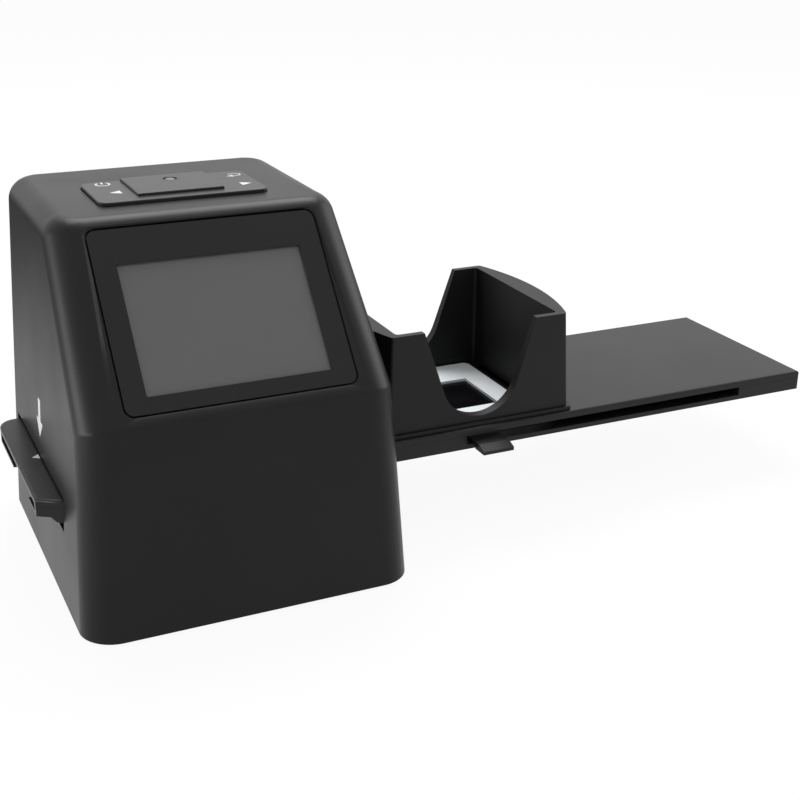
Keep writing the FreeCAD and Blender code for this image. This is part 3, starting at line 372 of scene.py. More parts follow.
def circuit_board(name, colour):
    """Green lacquer over raised copper tracks."""
    track_pitch = 9 * MM
    sheet = Sheet(name)
    point = sheet.object_point()
    tracks = sheet.add("ShaderNodeTexBrick")
    tracks.inputs["Scale"].default_value = 1 / track_pitch
    tracks.inputs["Mortar Size"].default_value = 0.05
    tracks.inputs["Color1"].default_value = (*shade(colour, 0.85), 1)
    tracks.inputs["Color2"].default_value = (*colour, 1)
    tracks.inputs["Mortar"].default_value = (*shade(colour, 1.7), 1)
    sheet.join(point, tracks.inputs["Vector"])
    lacquer = sheet.principled(Roughness=0.28)
    sheet.join(tracks.outputs["Color"], lacquer.inputs["Base Color"])
    relief = sheet.bump(tracks.outputs["Fac"], distance=0.03 * MM)
    sheet.join(relief, lacquer.inputs["Normal"])
    return sheet.output(lacquer.outputs["BSDF"])


def opal_plastic(name, colour):
    """Milky plastic with faint clouds."""
    sheet = Sheet(name)
    point = sheet.object_point()
    body = sheet.principled(Roughness=0.35)
    cloud = sheet.noise(point, size=7 * MM)
    sheet.join(sheet.ramp(cloud, shade(colour, 0.96), colour), body.inputs["Base Color"])
    return sheet.output(body.outputs["BSDF"])


def coated_glass(name):
    """The lens: clear with a faint tinted coat."""
    sheet = Sheet(name)
    see = sheet.add("ShaderNodeBsdfTransparent")
    see.inputs["Color"].default_value = (0.86, 0.92, 0.9, 1)
    coat = sheet.add("ShaderNodeBsdfGlossy")
    coat.inputs["Roughness"].default_value = 0.02
    tint = sheet.noise(sheet.object_point(), size=6 * MM, detail=1.0)
    sheet.join(sheet.ramp(tint, (0.5, 0.7, 1.0), (0.75, 0.6, 1.0)), coat.inputs["Color"])
    fresnel = sheet.add("ShaderNodeFresnel")
    fresnel.inputs["IOR"].default_value = 1.5
    mix = sheet.add("ShaderNodeMixShader")
    sheet.join(fresnel.outputs["Fac"], mix.inputs["Fac"])
    sheet.join(see.outputs["BSDF"], mix.inputs[1])
    sheet.join(coat.outputs["BSDF"], mix.inputs[2])
    return sheet.output(mix.outputs["Shader"])


# Meshes


def new_piece(name, mesh, body, material):
    """Puts a finished mesh in the scene, riding on its body."""
    mesh.name = name
    piece = bpy.data.objects.new(name, mesh)
    bpy.context.scene.collection.objects.link(piece)
    mesh.materials.clear()
    mesh.materials.append(material)
    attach(piece, body)
    return piece


def sharpened(mesh, angle):
    """Smooth shading, with sharp edges where faces meet more steeply than the angle."""
    mesh.polygons.foreach_set("use_smooth", [True] * len(mesh.polygons))
    mesh.set_sharp_from_angle(angle=angle)
    mesh.update()
    return mesh


def welded_copy(node, angle):
    """A copy of a CAD node's mesh with its triangles joined and its curves smooth."""
    weld, flat = HAIR / 20, math.radians(0.05)
    work = bmesh.new()
    work.from_mesh(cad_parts[node].data)
    bmesh.ops.remove_doubles(work, verts=work.verts, dist=weld)
    bmesh.ops.dissolve_limit(work, angle_limit=flat, verts=work.verts, edges=work.edges)
    mesh = bpy.data.meshes.new(node + "_dressed")
    work.to_mesh(mesh)
    work.free()
    return sharpened(mesh, angle)


def dressed(node, name, body, material):
    """A smooth shaded piece that stands for a CAD node."""
    angle = bpy.context.scene.scanner_housing.smooth_angle
    piece = new_piece(name, welded_copy(node, angle), body, material)
    levelled(piece)
    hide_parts(node)
    return piece


def levelled(piece):
    """Keeps the shading of the large flat faces flat beside their rounded edges."""
    level = piece.modifiers.new("Flat faces stay flat", "WEIGHTED_NORMAL")
    level.keep_sharp = True
    level.weight = 100


def paint(node, material):
    """Gives a CAD node that stays in view its material."""
    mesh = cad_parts[node].data
    mesh.materials.clear()
    mesh.materials.append(material)
    for face in mesh.polygons:
        face.material_index = 0


def arc_points(centre, radius, start, end, steps):
    """Points on a circle from one angle to another, both included."""
    return [Vector((centre[0] + radius * math.cos(start + (end - start) * i / steps),
                    centre[1] + radius * math.sin(start + (end - start) * i / steps)))
            for i in range(steps + 1)]


def rounded_outline(half_x, half_y, radius, steps=8):
    """A rectangle with round corners."""
    points = []
    for sx, sy, start in ((1, 1, 0), (-1, 1, 0.5), (-1, -1, 1), (1, -1, 1.5)):
        centre = (sx * (half_x - radius), sy * (half_y - radius))
        points += arc_points(centre, radius, start * math.pi, (start + 0.5) * math.pi, steps)
    return points


def stroke_outline(path, width):
    """Outline of a line of even width along a path of points."""
    left, right = [], []
    for i, point in enumerate(path):
        ahead = path[min(i + 1, len(path) - 1)] - path[max(i - 1, 0)]
        side = Vector((-ahead.y, ahead.x)).normalized() * width / 2
        left.append(point + side)
        right.append(point - side)
    return left + right[::-1]


def plates_mesh(outlines, low, high, place):
    """Thin plates of the given outlines, drawn flat and then put in place."""
    work = bmesh.new()
    for outline in outlines:
        floor = [work.verts.new((p.x, p.y, low)) for p in outline]
        roof = [work.verts.new((p.x, p.y, high)) for p in outline]
        count = len(outline)
        work.faces.new(floor[::-1])
        work.faces.new(roof)
        for i in range(count):
            j = (i + 1) % count
            work.faces.new((floor[i], floor[j], roof[j], roof[i]))
    bmesh.ops.recalc_face_normals(work, faces=work.faces)
    bmesh.ops.triangulate(work, faces=[f for f in work.faces if len(f.verts) > 4])
    work.transform(place)
    mesh = bpy.data.meshes.new("plates")
    work.to_mesh(mesh)
    work.free()
    return mesh


def ring_mesh(outer, inner, low, high, place):
    """A flat frame between two outlines with the same number of points."""
    work = bmesh.new()
    loops = []
    for outline in (outer, inner):
        for z in (low, high):
            loops.append([work.verts.new((p.x, p.y, z)) for p in outline])
    outer_low, outer_high, inner_low, inner_high = loops
    count = len(outer)
    for i in range(count):
        j = (i + 1) % count
        work.faces.new((outer_high[i], outer_high[j], inner_high[j], inner_high[i]))
        work.faces.new((outer_low[i], inner_low[i], inner_low[j], outer_low[j]))
        work.faces.new((outer_low[i], outer_low[j], outer_high[j], outer_high[i]))
        work.faces.new((inner_low[i], inner_high[i], inner_high[j], inner_low[j]))
    bmesh.ops.recalc_face_normals(work, faces=work.faces)
    work.transform(place)
    mesh = bpy.data.meshes.new("frame")
    work.to_mesh(mesh)
    work.free()
    return mesh


# Node trees for what repeats


def new_tree(name, sockets):
    """An empty geometry node tree with a geometry input and named size inputs."""
    tree = bpy.data.node_groups.new(name, "GeometryNodeTree")
    tree.interface.new_socket(name="Geometry", in_out="INPUT", socket_type="NodeSocketGeometry")
    for label, kind, default in sockets:
        socket = tree.interface.new_socket(name=label, in_out="INPUT", socket_type=kind)
        if default is not None:
            socket.default_value = default
    tree.interface.new_socket(name="Geometry", in_out="OUTPUT", socket_type="NodeSocketGeometry")
    return tree


def grown(tree, inputs, points):
    """Runs a node tree on a few points and keeps the result as a plain mesh."""
    seed = bpy.data.meshes.new(tree.name + "_points")
    seed.from_pydata([tuple(p) for p in points], [], [])
    carrier = bpy.data.objects.new(tree.name + "_carrier", seed)
    bpy.context.scene.collection.objects.link(carrier)
    modifier = carrier.modifiers.new("Repeat", "NODES")
    modifier.node_group = tree
    names = {item.name: item.identifier for item in tree.interface.items_tree
             if item.item_type == "SOCKET" and item.in_out == "INPUT"}
    for label, value in inputs.items():
        modifier[names[label]] = value
    bpy.context.view_layer.update()
    depsgraph = bpy.context.evaluated_depsgraph_get()
    mesh = bpy.data.meshes.new_from_object(carrier.evaluated_get(depsgraph))
    bpy.data.objects.remove(carrier)
    if not mesh.polygons:
        raise RuntimeError(f"{tree.name} made no faces")
    return mesh


def screw_tree():
    """Screws with a cross recess, head down, one at each point."""
    tree = new_tree("Case screws", [
        ("Head radius", "NodeSocketFloat", 2.4 * MM), ("Head height", "NodeSocketFloat", 1.2 * MM),
        ("Slot width", "NodeSocketFloat", 0.6 * MM), ("Slot depth", "NodeSocketFloat", 0.7 * MM),
        ("Shank radius", "NodeSocketFloat", 1.2 * MM),
        ("Shank length", "NodeSocketFloat", 10 * MM), ("Material", "NodeSocketMaterial", None)])
    nodes, links = tree.nodes, tree.links
    start = nodes.new("NodeGroupInput")
    end = nodes.new("NodeGroupOutput")

    def maths(kind, a, b):
        node = nodes.new("ShaderNodeMath")
        node.operation = kind
        for socket, value in zip(node.inputs, (a, b)):
            if isinstance(value, (int, float)):
                socket.default_value = value
            else:
                links.new(value, socket)
        return node.outputs[0]

    def lifted(geometry, height):
        vector = nodes.new("ShaderNodeCombineXYZ")
        links.new(height, vector.inputs["Z"])
        move = nodes.new("GeometryNodeTransform")
        links.new(geometry, move.inputs["Geometry"])
        links.new(vector.outputs[0], move.inputs["Translation"])
        return move.outputs[0]

    def round_bar(radius, height, centre):
        bar = nodes.new("GeometryNodeMeshCylinder")
        bar.inputs["Vertices"].default_value = 32
        links.new(radius, bar.inputs["Radius"])
        links.new(height, bar.inputs["Depth"])
        return lifted(bar.outputs["Mesh"], centre)

    def slot_bar(along_x):
        length_share = 1.15
        size = nodes.new("ShaderNodeCombineXYZ")
        long_side = maths("MULTIPLY", start.outputs["Head radius"], length_share)
        links.new(long_side if along_x else start.outputs["Slot width"], size.inputs["X"])
        links.new(start.outputs["Slot width"] if along_x else long_side, size.inputs["Y"])
        links.new(maths("MULTIPLY", start.outputs["Slot depth"], 2), size.inputs["Z"])
        bar = nodes.new("GeometryNodeMeshCube")
        links.new(size.outputs[0], bar.inputs["Size"])
        return lifted(bar.outputs["Mesh"], maths("MULTIPLY", start.outputs["Head height"], -1))

    head = round_bar(start.outputs["Head radius"], start.outputs["Head height"],
                     maths("MULTIPLY", start.outputs["Head height"], -0.5))
    shank = round_bar(start.outputs["Shank radius"], start.outputs["Shank length"],
                      maths("MULTIPLY", start.outputs["Shank length"], 0.5))
    recess = nodes.new("GeometryNodeMeshBoolean")
    recess.operation = "DIFFERENCE"
    links.new(head, recess.inputs["Mesh 1"])
    links.new(slot_bar(True), recess.inputs["Mesh 2"])
    links.new(slot_bar(False), recess.inputs["Mesh 2"])
    both = nodes.new("GeometryNodeJoinGeometry")
    links.new(recess.outputs["Mesh"], both.inputs[0])
    links.new(shank, both.inputs[0])
    finish_instances(tree, start, both.outputs[0], end)
    return tree


def finish_instances(tree, start, shape, end):
    """Ends a tree: the shape at each point, realised and given its material."""
    nodes, links = tree.nodes, tree.links
    spread = nodes.new("GeometryNodeInstanceOnPoints")
    links.new(start.outputs["Geometry"], spread.inputs["Points"])
    links.new(shape, spread.inputs["Instance"])
    real = nodes.new("GeometryNodeRealizeInstances")
    links.new(spread.outputs[0], real.inputs[0])
    cover = nodes.new("GeometryNodeSetMaterial")
    links.new(real.outputs[0], cover.inputs["Geometry"])
    links.new(start.outputs["Material"], cover.inputs["Material"])
    links.new(cover.outputs[0], end.inputs[0])


def contact_tree():
    """A row of flat contacts, started at each point."""
    tree = new_tree("Contact row", [
        ("Count", "NodeSocketInt", 5), ("Step", "NodeSocketVector", (0.8 * MM, 0, 0)),
        ("Size", "NodeSocketVector", (0.4 * MM, 3 * MM, 0.1 * MM)),
        ("Material", "NodeSocketMaterial", None)])
    nodes, links = tree.nodes, tree.links
    start = nodes.new("NodeGroupInput")
    end = nodes.new("NodeGroupOutput")
    line = nodes.new("GeometryNodeMeshLine")
    line.mode = "OFFSET"
    links.new(start.outputs["Count"], line.inputs["Count"])
    links.new(start.outputs["Step"], line.inputs["Offset"])
    bar = nodes.new("GeometryNodeMeshCube")
    links.new(start.outputs["Size"], bar.inputs["Size"])
    row = nodes.new("GeometryNodeInstanceOnPoints")
    links.new(line.outputs["Mesh"], row.inputs["Points"])
    links.new(bar.outputs["Mesh"], row.inputs["Instance"])
    solid = nodes.new("GeometryNodeRealizeInstances")
    links.new(row.outputs[0], solid.inputs[0])
    finish_instances(tree, start, solid.outputs[0], end)
    return tree


# Places on the object


def window_place():
    """Flat drawing to the window: x to the right, y up the slope, z out of the face."""
    turn = Matrix.Rotation(math.pi / 2 - FACE_TILT, 4, "X")
    rise = Matrix.Translation((0, 0, WINDOW_RISE))
    return Matrix.Translation(node_centre("screen_window")) @ turn @ rise


def left_wall_place(y, z):
    """Flat drawing to the left wall: x towards the back, y up the wall, z outwards."""
    up = Vector((math.sin(SIDE_DRAFT), 0, math.cos(SIDE_DRAFT)))
    across = Vector((0, -1, 0))
    out = across.cross(up)
    spot = Vector((-(HOUSING_HALF_WIDTH - z * math.tan(SIDE_DRAFT)), y, z))
    axes = Matrix((across, up, out)).transposed().to_4x4()
    return Matrix.Translation(spot) @ axes


# Operators


class SCANNER_OT_housing(bpy.types.Operator):
    """Dress the housing, the bottom cover and the feet, and draw the loading marks"""
    bl_idname = "scanner.housing"
    bl_label = "Housing"

    def execute(self, context):
        look = context.scene.scanner_housing
        moulding = satin_moulding("Housing moulding", look.colour, look.roughness, look.grain)
        rougher, coarser = 0.08, 1.5
        cover = satin_moulding("Cover moulding", look.cover_colour, look.roughness + rougher,
                               look.grain * coarser)
        dressed("housing_shell", "housing", "scanner", moulding)
        dressed("bottom_cover", "base_plate", "scanner", cover)
        tread = rubber("Foot rubber", (0.014, 0.014, 0.014))
        dressed("rubber_feet", "feet", "scanner", tread)
        ink = printed_ink("Arrow ink", look.mark_colour)
        self.loading_arrow(ink)
        self.tray_mark(ink)
        return {"FINISHED"}

    def loading_arrow(self, ink):
        """A plain arrow on the left wall that points down to the film tunnel."""
        half_length, half_head, half_stem, head = 5.75 * MM, 4.2 * MM, 1.5 * MM, 5.2 * MM
        middle_y, middle_z = 4.4 * MM, 42.4 * MM
        neck = head - half_length
        arrow = [Vector(p) for p in (
            (-half_stem, half_length), (-half_stem, neck), (-half_head, neck),
            (0, -half_length), (half_head, neck), (half_stem, neck), (half_stem, half_length))]
        mesh = plates_mesh([arrow], -HAIR, HAIR, left_wall_place(middle_y, middle_z))
        new_piece("loading_arrow", mesh, "scanner", ink)

    def tray_mark(self, ink):
        """A small plain triangle on the tray's left end, beside the wall."""
        tip, base, middle, half = -46.8 * MM, -44.75 * MM, 6.1 * MM, 1.55 * MM
        outline = [Vector(p) for p in (
            (tip, middle), (base, middle - half), (base, middle + half))]
        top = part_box("tray_upper_shell")[1].z
        mesh = plates_mesh([outline], -HAIR, HAIR, Matrix.Translation((0, 0, top)))
        new_piece("tray_mark", mesh, "slide_feeder", ink)


class SCANNER_OT_window(bpy.types.Operator):
    """Make the clear window, its printed border and the display behind it"""
    bl_idname = "scanner.window"
    bl_label = "Window and display"

    def execute(self, context):
        size = context.scene.scanner_window
        place = window_place()
        self.glass(size, place)
        self.border(size, place)
        self.display(size, place)
        return {"FINISHED"}

    def glass(self, size, place):
        """The clear plate with a fine bevel round its front."""
        outline = rounded_outline(size.width / 2, size.height / 2, size.corner)
        half = size.thickness / 2
        mesh = plates_mesh([outline], -half, half, Matrix.Identity(4))
        front, steep = half - HAIR / 10, math.radians(60)
        work = bmesh.new()
        work.from_mesh(mesh)
        rim = [edge for edge in work.edges if all(v.co.z > front for v in edge.verts)
               and len(edge.link_faces) == 2 and edge.calc_face_angle() > steep]
        bmesh.ops.bevel(work, geom=rim, offset=size.rim, segments=3, affect="EDGES", profile=0.5)
        work.transform(place)
        work.to_mesh(mesh)
        work.free()
        sharpened(mesh, math.radians(35))
        plastic = clear_window("Window plastic")
        piece = new_piece("window", mesh, "scanner", plastic)
        levelled(piece)
        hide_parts("screen_window")

    def border(self, size, place):
        """The black print under the window's front, open over the display."""
        inset, opening_corner = size.rim + HAIR, 0.5 * MM
        outer = rounded_outline(size.width / 2 - inset, size.height / 2 - inset,
                                size.corner - inset)
        opening = rounded_outline(size.opening_width / 2, size.opening_height / 2,
                                  opening_corner)
        inner = [p + Vector((0, -size.opening_drop)) for p in opening]
        front = size.thickness / 2
        mesh = ring_mesh(outer, inner, front - HAIR * 2, front - HAIR / 4, place)
        ink = printed_ink("Window border ink", size.mask_colour, roughness=0.3, specular=0.25)
        new_piece("window_border", mesh, "scanner", ink)

    def display(self, size, place):
        """The display's front, a little larger than the opening in the print."""
        depth, corner = -size.display_depth, 0.1 * MM
        shift = Matrix.Translation((0, -size.opening_drop, 0))
        half_x = size.opening_width / 2 + size.display_margin
        half_y = size.opening_height / 2 + size.display_margin
        outline = rounded_outline(half_x, half_y, corner, steps=2)
        mesh = plates_mesh([outline], depth - HAIR, depth, place @ shift)
        layer = display_off("Display layer", size.display_colour)
        new_piece("display_layer", mesh, "scanner", layer)
        edge = printed_ink("Display edge", shade(size.mask_colour, 0.8), roughness=0.4)
        paint("lcd_panel", edge)
        steel = rolled_metal("Display frame steel", (0.55, 0.55, 0.56), roughness=0.35)
        paint("lcd_frame", steel)


class SCANNER_OT_keys(bpy.types.Operator):
    """Dress the keys and draw their icons"""
    bl_idname = "scanner.keys"
    bl_label = "Keys"

    def execute(self, context):
        look = context.scene.scanner_keys
        cap = satin_moulding("Key cap", look.colour, roughness=0.29, grain=0.3 * MM,
                             relief=0.002 * MM, specular=0.22)
        for key in ("power_key", "left_key", "right_key", "mode_key", "ok_key"):
            dressed(key, key + "_cap", key, cap)
        lamp = opal_plastic("Status lens", (0.10, 0.104, 0.104))
        dressed("status_lens", "status_light", "ok_key", lamp)
        ink = printed_ink("Icon ink", look.icon_colour)
        self.icons(look, ink)
        return {"FINISHED"}

    def icons(self, look, ink):
        half, stroke = look.icon_size / 2, look.stroke
        for key, shapes, x, y in (
                ("power_key", self.power_icon(half, stroke), -17.9 * MM, 20.6 * MM),
                ("left_key", [self.pointer(half)], -16.8 * MM, 9.6 * MM),
                ("right_key", [self.pointer(half, mirrored=True)], 19.7 * MM, 6.9 * MM),
                ("mode_key", self.return_icon(half, stroke), 19.9 * MM, 18.8 * MM)):
            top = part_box(key)[1].z
            place = Matrix.Translation((x, y, top))
            mesh = plates_mesh(shapes, -HAIR, HAIR, place)
            new_piece(key + "_icon", mesh, key, ink)

    def power_icon(self, half, stroke):
        """A ring that is open at the top, with a stem in the gap."""
        radius = half * 1.28
        stem_top, stem_foot = radius * 1.25, radius * 0.1
        ring = arc_points((0, 0), radius, math.radians(125), math.radians(415), steps=32)
        stem = [Vector((0, stem_top)), Vector((0, stem_foot))]
        return [stroke_outline(ring, stroke), stroke_outline(stem, stroke)]

    def pointer(self, half, mirrored=False):
        """A triangle that points to the left or, mirrored, to the right."""
        size = half * 1.2
        triangle = [Vector(p) * size for p in ((-1, 0), (0.8, -1), (0.8, 1))]
        return [Vector((-p.x, p.y)) for p in triangle[::-1]] if mirrored else triangle

    def return_icon(self, half, stroke):
        """A line that bends back to the left and ends in an arrow."""
        radius, widening, line = half * 0.9, 1.5, stroke * 0.8
        arc = arc_points((0, 0), radius, math.radians(-110), math.radians(130), steps=24)
        bend = [Vector((p.x * widening, p.y)) for p in arc]
        arrow = [bend[0] + Vector(p) * half for p in ((-1.2, -0.02), (0.2, 0.66), (0.2, -0.7))]
        return [stroke_outline(bend, line), arrow]


class SCANNER_OT_feeder(bpy.types.Operator):
    """Dress the feeder's tray, its hopper and its pusher"""
    bl_idname = "scanner.feeder"
    bl_label = "Slide feeder"

    def execute(self, context):
        look = context.scene.scanner_feeder
        grain, smoother, rougher = 0.4 * MM, 0.11, 0.06
        tray = satin_moulding("Tray moulding", look.tray_colour, look.roughness - smoother,
                              grain, specular=0.21)
        hopper = satin_moulding("Hopper moulding", look.hopper_colour, look.roughness + rougher,
                                grain, specular=0.24)
        pusher = satin_moulding("Pusher moulding", look.pusher_colour, look.roughness, grain)
        dressed("tray_upper_shell", "tray_top", "slide_feeder", tray)
        dressed("tray_lower_shell", "tray_base", "slide_feeder", tray)
        dressed("hopper", "slide_hopper", "slide_feeder", hopper)
        dressed("pusher", "slide_pusher", "pusher", pusher)
        return {"FINISHED"}


class SCANNER_OT_slide(bpy.types.Operator):
    """Dress the mounted slide that lies in the hopper"""
    bl_idname = "scanner.slide"
    bl_label = "Mounted slide"

    def execute(self, context):
        look = context.scene.scanner_slide
        mount = slide_plastic("Slide mount", look.mount_colour)
        dressed("slide_mount_base", "slide_base", "mounted_slide", mount)
        dressed("slide_mount_cover", "slide_cover", "mounted_slide", mount)
        paint("slide_film", processed_film("Slide film", look.film_colour))
        return {"FINISHED"}


class SCANNER_OT_fasteners(bpy.types.Operator):
    """Set the screws in the base and in the feeder"""
    bl_idname = "scanner.fasteners"
    bl_label = "Screws"

    def execute(self, context):
        tree = screw_tree()
        steel = rolled_metal("Blackened screw steel", (0.16, 0.16, 0.165), roughness=0.38)
        side, front, back, head_z = 37.6 * MM, -43.2 * MM, 43.4 * MM, 1.4 * MM
        base = [(x, y, head_z) for x in (-side, side) for y in (front, back)]
        self.screws("case_screws", "housing_screws", "scanner", tree, base, steel,
                    {"Head radius": 2.4 * MM, "Head height": 1.2 * MM,
                     "Shank radius": 1.25 * MM, "Shank length": 11 * MM})
        low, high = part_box("tray_screws")
        inset, head_z = 1.9 * MM, 24.8 * MM
        columns, rows = (-30 * MM, 64 * MM, 192 * MM), (low.y + inset, high.y - inset)
        tray = [(x, y, head_z) for x in columns for y in rows]
        self.screws("tray_base_screws", "tray_screws", "slide_feeder", tree, tray, steel,
                    {"Head radius": 1.9 * MM, "Head height": 1.05 * MM,
                     "Shank radius": 0.95 * MM, "Shank length": 4.4 * MM,
                     "Slot width": 0.5 * MM, "Slot depth": 0.6 * MM})
        paint("board_screws", steel)
        return {"FINISHED"}

    def screws(self, name, node, body, tree, places, steel, sizes):
        """A group of like screws that stands for a CAD node."""
        mesh = grown(tree, {**sizes, "Material": steel}, places)
        piece = new_piece(name, sharpened(mesh, math.radians(30)), body, steel)
        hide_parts(node)


class SCANNER_OT_sockets(bpy.types.Operator):
    """Fit the plated contacts in the sockets"""
    bl_idname = "scanner.sockets"
    bl_label = "Socket contacts"

    def execute(self, context):
        look = context.scene.scanner_inner
        tree = contact_tree()
        plated = rolled_metal("Plated contacts", look.contact_colour, roughness=0.25)
        steel = rolled_metal("Socket steel", (0.62, 0.62, 0.63), roughness=0.3)
        paint("usb_socket", steel)
        paint("card_socket", steel)
        jack = satin_moulding("Jack moulding", (0.01, 0.01, 0.01), roughness=0.4, grain=0.3 * MM)
        paint("video_jack", jack)
        self.usb_contacts(tree, look.contact_pitch, plated)
        self.card_contacts(tree, look.card_pitch, plated)
        return {"FINISHED"}

    def usb_contacts(self, tree, pitch, plated):
        """A row along X above the middle of the USB socket."""
        count, back, rise = 5, 0.6 * MM, 1.0 * MM
        middle = node_centre("usb_socket")
        start = (middle.x - pitch * (count - 1) / 2, middle.y + back, middle.z + rise)
        mesh = grown(tree, {"Count": count, "Step": (pitch, 0, 0),
                            "Size": (0.4 * MM, 4.2 * MM, 0.12 * MM), "Material": plated}, [start])
        new_piece("usb_contacts", mesh, "scanner", plated)

    def card_contacts(self, tree, pitch, plated):
        """A row up the inner wall of the card socket."""
        count, inset, wall = 9, 5 * MM, 0.62 * MM
        low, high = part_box("card_socket")
        start = (low.x + inset, low.y + wall, (low.z + high.z) / 2 - pitch * (count - 1) / 2)
        mesh = grown(tree, {"Count": count, "Step": (0, 0, pitch),
                            "Size": (6 * MM, 0.2 * MM, 1.1 * MM), "Material": plated}, [start])
        new_piece("card_contacts", mesh, "scanner", plated)


class SCANNER_OT_inner(bpy.types.Operator):
    """Give the inner parts their finishes"""
    bl_idname = "scanner.inner"
    bl_label = "Inner parts"

    def execute(self, context):
        look = context.scene.scanner_inner
        board = circuit_board("Circuit board", look.board_colour)
        for node in ("main_board", "button_board", "led_board", "sensor_board"):
            paint(node, board)
        guide = satin_moulding("Guide moulding", (0.009, 0.009, 0.009), roughness=0.5,
                               grain=0.5 * MM)
        for node in ("tunnel_floor", "tunnel_roof", "camera_bracket", "lens_barrel"):
            paint(node, guide)
        chip = satin_moulding("Chip epoxy", (0.02, 0.02, 0.021), roughness=0.55, grain=0.2 * MM)
        for node in ("board_chips", "button_switches", "image_sensor"):
            paint(node, chip)
        spring = rolled_metal("Spring steel", (0.6, 0.6, 0.6), roughness=0.25)
        paint("detent_springs", spring)
        white = opal_plastic("White diffuser", (0.82, 0.82, 0.8))
        for node in ("diffuser", "light_box", "backlight_leds", "status_led"):
            paint(node, white)
        paint("camera_lens", coated_glass("Lens glass"))
        return {"FINISHED"}


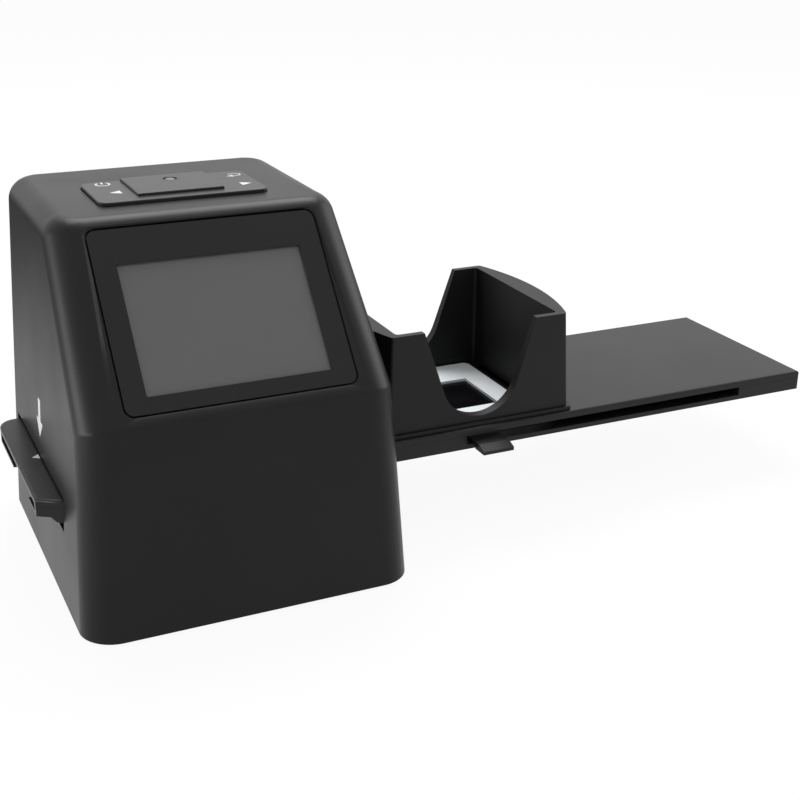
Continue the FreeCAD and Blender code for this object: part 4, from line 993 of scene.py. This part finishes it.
class SCANNER_OT_stage(bpy.types.Operator):
    """Set the floor, the lamps, the room light and the camera"""
    bl_idname = "scanner.stage"
    bl_label = "Stage"

    def execute(self, context):
        look = context.scene.scanner_stage
        self.floor(look)
        self.room(context.scene, look)
        centre = (CAD_BOX[0] + CAD_BOX[1]) / 2
        for name, watts, size, place, spread in (
                ("top_lamp", look.top_lamp, (0.7, 0.5), (0.20, 0.45, 0.85), 0.9),
                ("side_lamp", look.side_lamp, (0.5, 0.2), (-0.65, 0.12, 0.11), 0.7),
                ("end_lamp", look.end_lamp, (0.5, 0.5), (0.90, 0.05, 0.35), 0.7)):
            self.lamp(name, watts, size, Vector(place), centre, spread)
        self.camera(context.scene, look)
        context.scene.view_settings.view_transform = "Standard"
        return {"FINISHED"}

    def floor(self, look):
        """A wide floor that takes shadows and looks almost white."""
        level, reach, glow_share = CAD_BOX[0].z, 3.0, 0.93
        mesh = bpy.data.meshes.new("studio_floor")
        mesh.from_pydata([(-reach, -reach, level), (reach, -reach, level),
                          (reach, reach, level), (-reach, reach, level)], [], [(0, 1, 2, 3)])
        floor = bpy.data.objects.new("studio_floor", mesh)
        bpy.context.scene.collection.objects.link(floor)
        sheet = Sheet("Studio floor")
        paper = sheet.add("ShaderNodeBsdfDiffuse")
        paper.inputs["Color"].default_value = (*look.floor_colour, 1)
        glow = sheet.add("ShaderNodeEmission")
        glow.inputs["Color"].default_value = (1, 1, 1, 1)
        mix = sheet.add("ShaderNodeMixShader")
        part = sheet.add("ShaderNodeMath", operation="MULTIPLY")
        part.inputs[1].default_value = glow_share
        sheet.join(self.seen_rays(sheet.tree), part.inputs[0])
        sheet.join(part.outputs[0], mix.inputs["Fac"])
        sheet.join(self.far_dusk(sheet), glow.inputs["Strength"])
        sheet.join(paper.outputs["BSDF"], mix.inputs[1])
        sheet.join(glow.outputs["Emission"], mix.inputs[2])
        mesh.materials.append(sheet.output(mix.outputs["Shader"]))

    def far_dusk(self, sheet):
        """1, but for mirrored rays less and less towards the back of the floor."""
        near, far, most = 0.08, 0.40, 0.95
        place = sheet.add("ShaderNodeSeparateXYZ")
        sheet.join(sheet.object_point(), place.inputs[0])
        fade = sheet.remap(place.outputs["Y"], 0, most, low=near, high=far)
        loss = sheet.add("ShaderNodeMath", operation="MULTIPLY")
        sheet.join(fade, loss.inputs[0])
        sheet.join(sheet.add("ShaderNodeLightPath").outputs["Is Glossy Ray"], loss.inputs[1])
        left = sheet.add("ShaderNodeMath", operation="SUBTRACT")
        left.inputs[0].default_value = 1
        sheet.join(loss.outputs[0], left.inputs[1])
        return left.outputs[0]

    def seen_rays(self, tree):
        """1 for what the camera sees, straight on, mirrored or through glass."""
        path = tree.nodes.new("ShaderNodeLightPath")
        total = path.outputs["Is Camera Ray"]
        for name in ("Is Glossy Ray", "Is Transmission Ray"):
            either = tree.nodes.new("ShaderNodeMath")
            either.operation = "MAXIMUM"
            tree.links.new(total, either.inputs[0])
            tree.links.new(path.outputs[name], either.inputs[1])
            total = either.outputs[0]
        return total

    def room(self, scene, look):
        """White to the camera and in mirrored rays, and less bright as a light."""
        world = bpy.data.worlds.new("Studio room")
        scene.world = world
        world.use_nodes = True
        tree = world.node_tree
        tree.nodes.clear()
        mix = tree.nodes.new("ShaderNodeMixShader")
        tree.links.new(self.seen_rays(tree), mix.inputs["Fac"])
        for socket, strength in ((1, look.world_strength), (2, 1.0)):
            white = tree.nodes.new("ShaderNodeBackground")
            white.inputs["Color"].default_value = (1, 1, 1, 1)
            white.inputs["Strength"].default_value = strength
            tree.links.new(white.outputs[0], mix.inputs[socket])
        end = tree.nodes.new("ShaderNodeOutputWorld")
        tree.links.new(mix.outputs[0], end.inputs["Surface"])

    def lamp(self, name, watts, size, place, target, spread):
        """A soft lamp that faces the target; its spread is a share of a half turn."""
        data = bpy.data.lights.new(name, "AREA")
        data.shape = "RECTANGLE"
        data.size, data.size_y = size
        data.energy = watts
        lamp = bpy.data.objects.new(name, data)
        lamp.location = place
        lamp.rotation_euler = (target - place).to_track_quat("-Z", "Y").to_euler()
        data.spread = spread * math.pi
        bpy.context.scene.collection.objects.link(lamp)

    def camera(self, scene, look):
        """A camera turned by its azimuth and elevation, then rolled about its axis."""
        azimuth, elevation, roll = look.camera_turn
        back = Vector((math.sin(azimuth) * math.cos(elevation),
                       -math.cos(azimuth) * math.cos(elevation), math.sin(elevation)))
        level = Vector((math.cos(azimuth), math.sin(azimuth), 0))
        upright = back.cross(level)
        right = level * math.cos(roll) + upright * math.sin(roll)
        up = upright * math.cos(roll) - level * math.sin(roll)
        data = bpy.data.cameras.new("photo_camera")
        data.lens = look.lens
        data.sensor_width = 36.0
        data.clip_start = 0.01
        camera = bpy.data.objects.new("photo_camera", data)
        axes = Matrix((right, up, back)).transposed().to_4x4()
        camera.matrix_world = Matrix.Translation(look.camera_place) @ axes
        scene.collection.objects.link(camera)
        scene.camera = camera


class SCANNER_PT_panel(bpy.types.Panel):
    """Lists the dressing steps and their settings"""
    bl_label = "Film scanner"
    bl_idname = "SCANNER_PT_panel"
    bl_space_type = "VIEW_3D"
    bl_region_type = "UI"
    bl_category = "Film scanner"

    def draw(self, context):
        for settings, operators in PANEL_ROWS:
            box = self.layout.box()
            group = getattr(context.scene, settings)
            for name in group.__annotations__:
                box.prop(group, name)
            for operator in operators:
                box.operator(operator)


PANEL_ROWS = (
    ("scanner_housing", ("scanner.housing",)),
    ("scanner_window", ("scanner.window",)),
    ("scanner_keys", ("scanner.keys",)),
    ("scanner_feeder", ("scanner.feeder", "scanner.fasteners")),
    ("scanner_slide", ("scanner.slide",)),
    ("scanner_inner", ("scanner.sockets", "scanner.inner")),
    ("scanner_stage", ("scanner.stage",)),
)

SETTINGS = {
    "scanner_housing": HousingSettings,
    "scanner_window": WindowSettings,
    "scanner_keys": KeySettings,
    "scanner_feeder": FeederSettings,
    "scanner_slide": SlideSettings,
    "scanner_inner": InnerSettings,
    "scanner_stage": StageSettings,
}

CLASSES = (
    *SETTINGS.values(),
    SCANNER_OT_housing,
    SCANNER_OT_window,
    SCANNER_OT_keys,
    SCANNER_OT_feeder,
    SCANNER_OT_slide,
    SCANNER_OT_fasteners,
    SCANNER_OT_sockets,
    SCANNER_OT_inner,
    SCANNER_OT_stage,
    SCANNER_PT_panel,
)


def register():
    for cls in CLASSES:
        bpy.utils.register_class(cls)
    for name, group in SETTINGS.items():
        setattr(bpy.types.Scene, name, bpy.props.PointerProperty(type=group))


def unregister():
    for name in SETTINGS:
        delattr(bpy.types.Scene, name)
    for cls in reversed(CLASSES):
        bpy.utils.unregister_class(cls)


def main():
    register()
    bpy.ops.scanner.stage()
    bpy.ops.scanner.housing()
    bpy.ops.scanner.window()
    bpy.ops.scanner.keys()
    bpy.ops.scanner.feeder()
    bpy.ops.scanner.slide()
    bpy.ops.scanner.fasteners()
    bpy.ops.scanner.sockets()
    bpy.ops.scanner.inner()


if __name__ == "__main__":
    main()
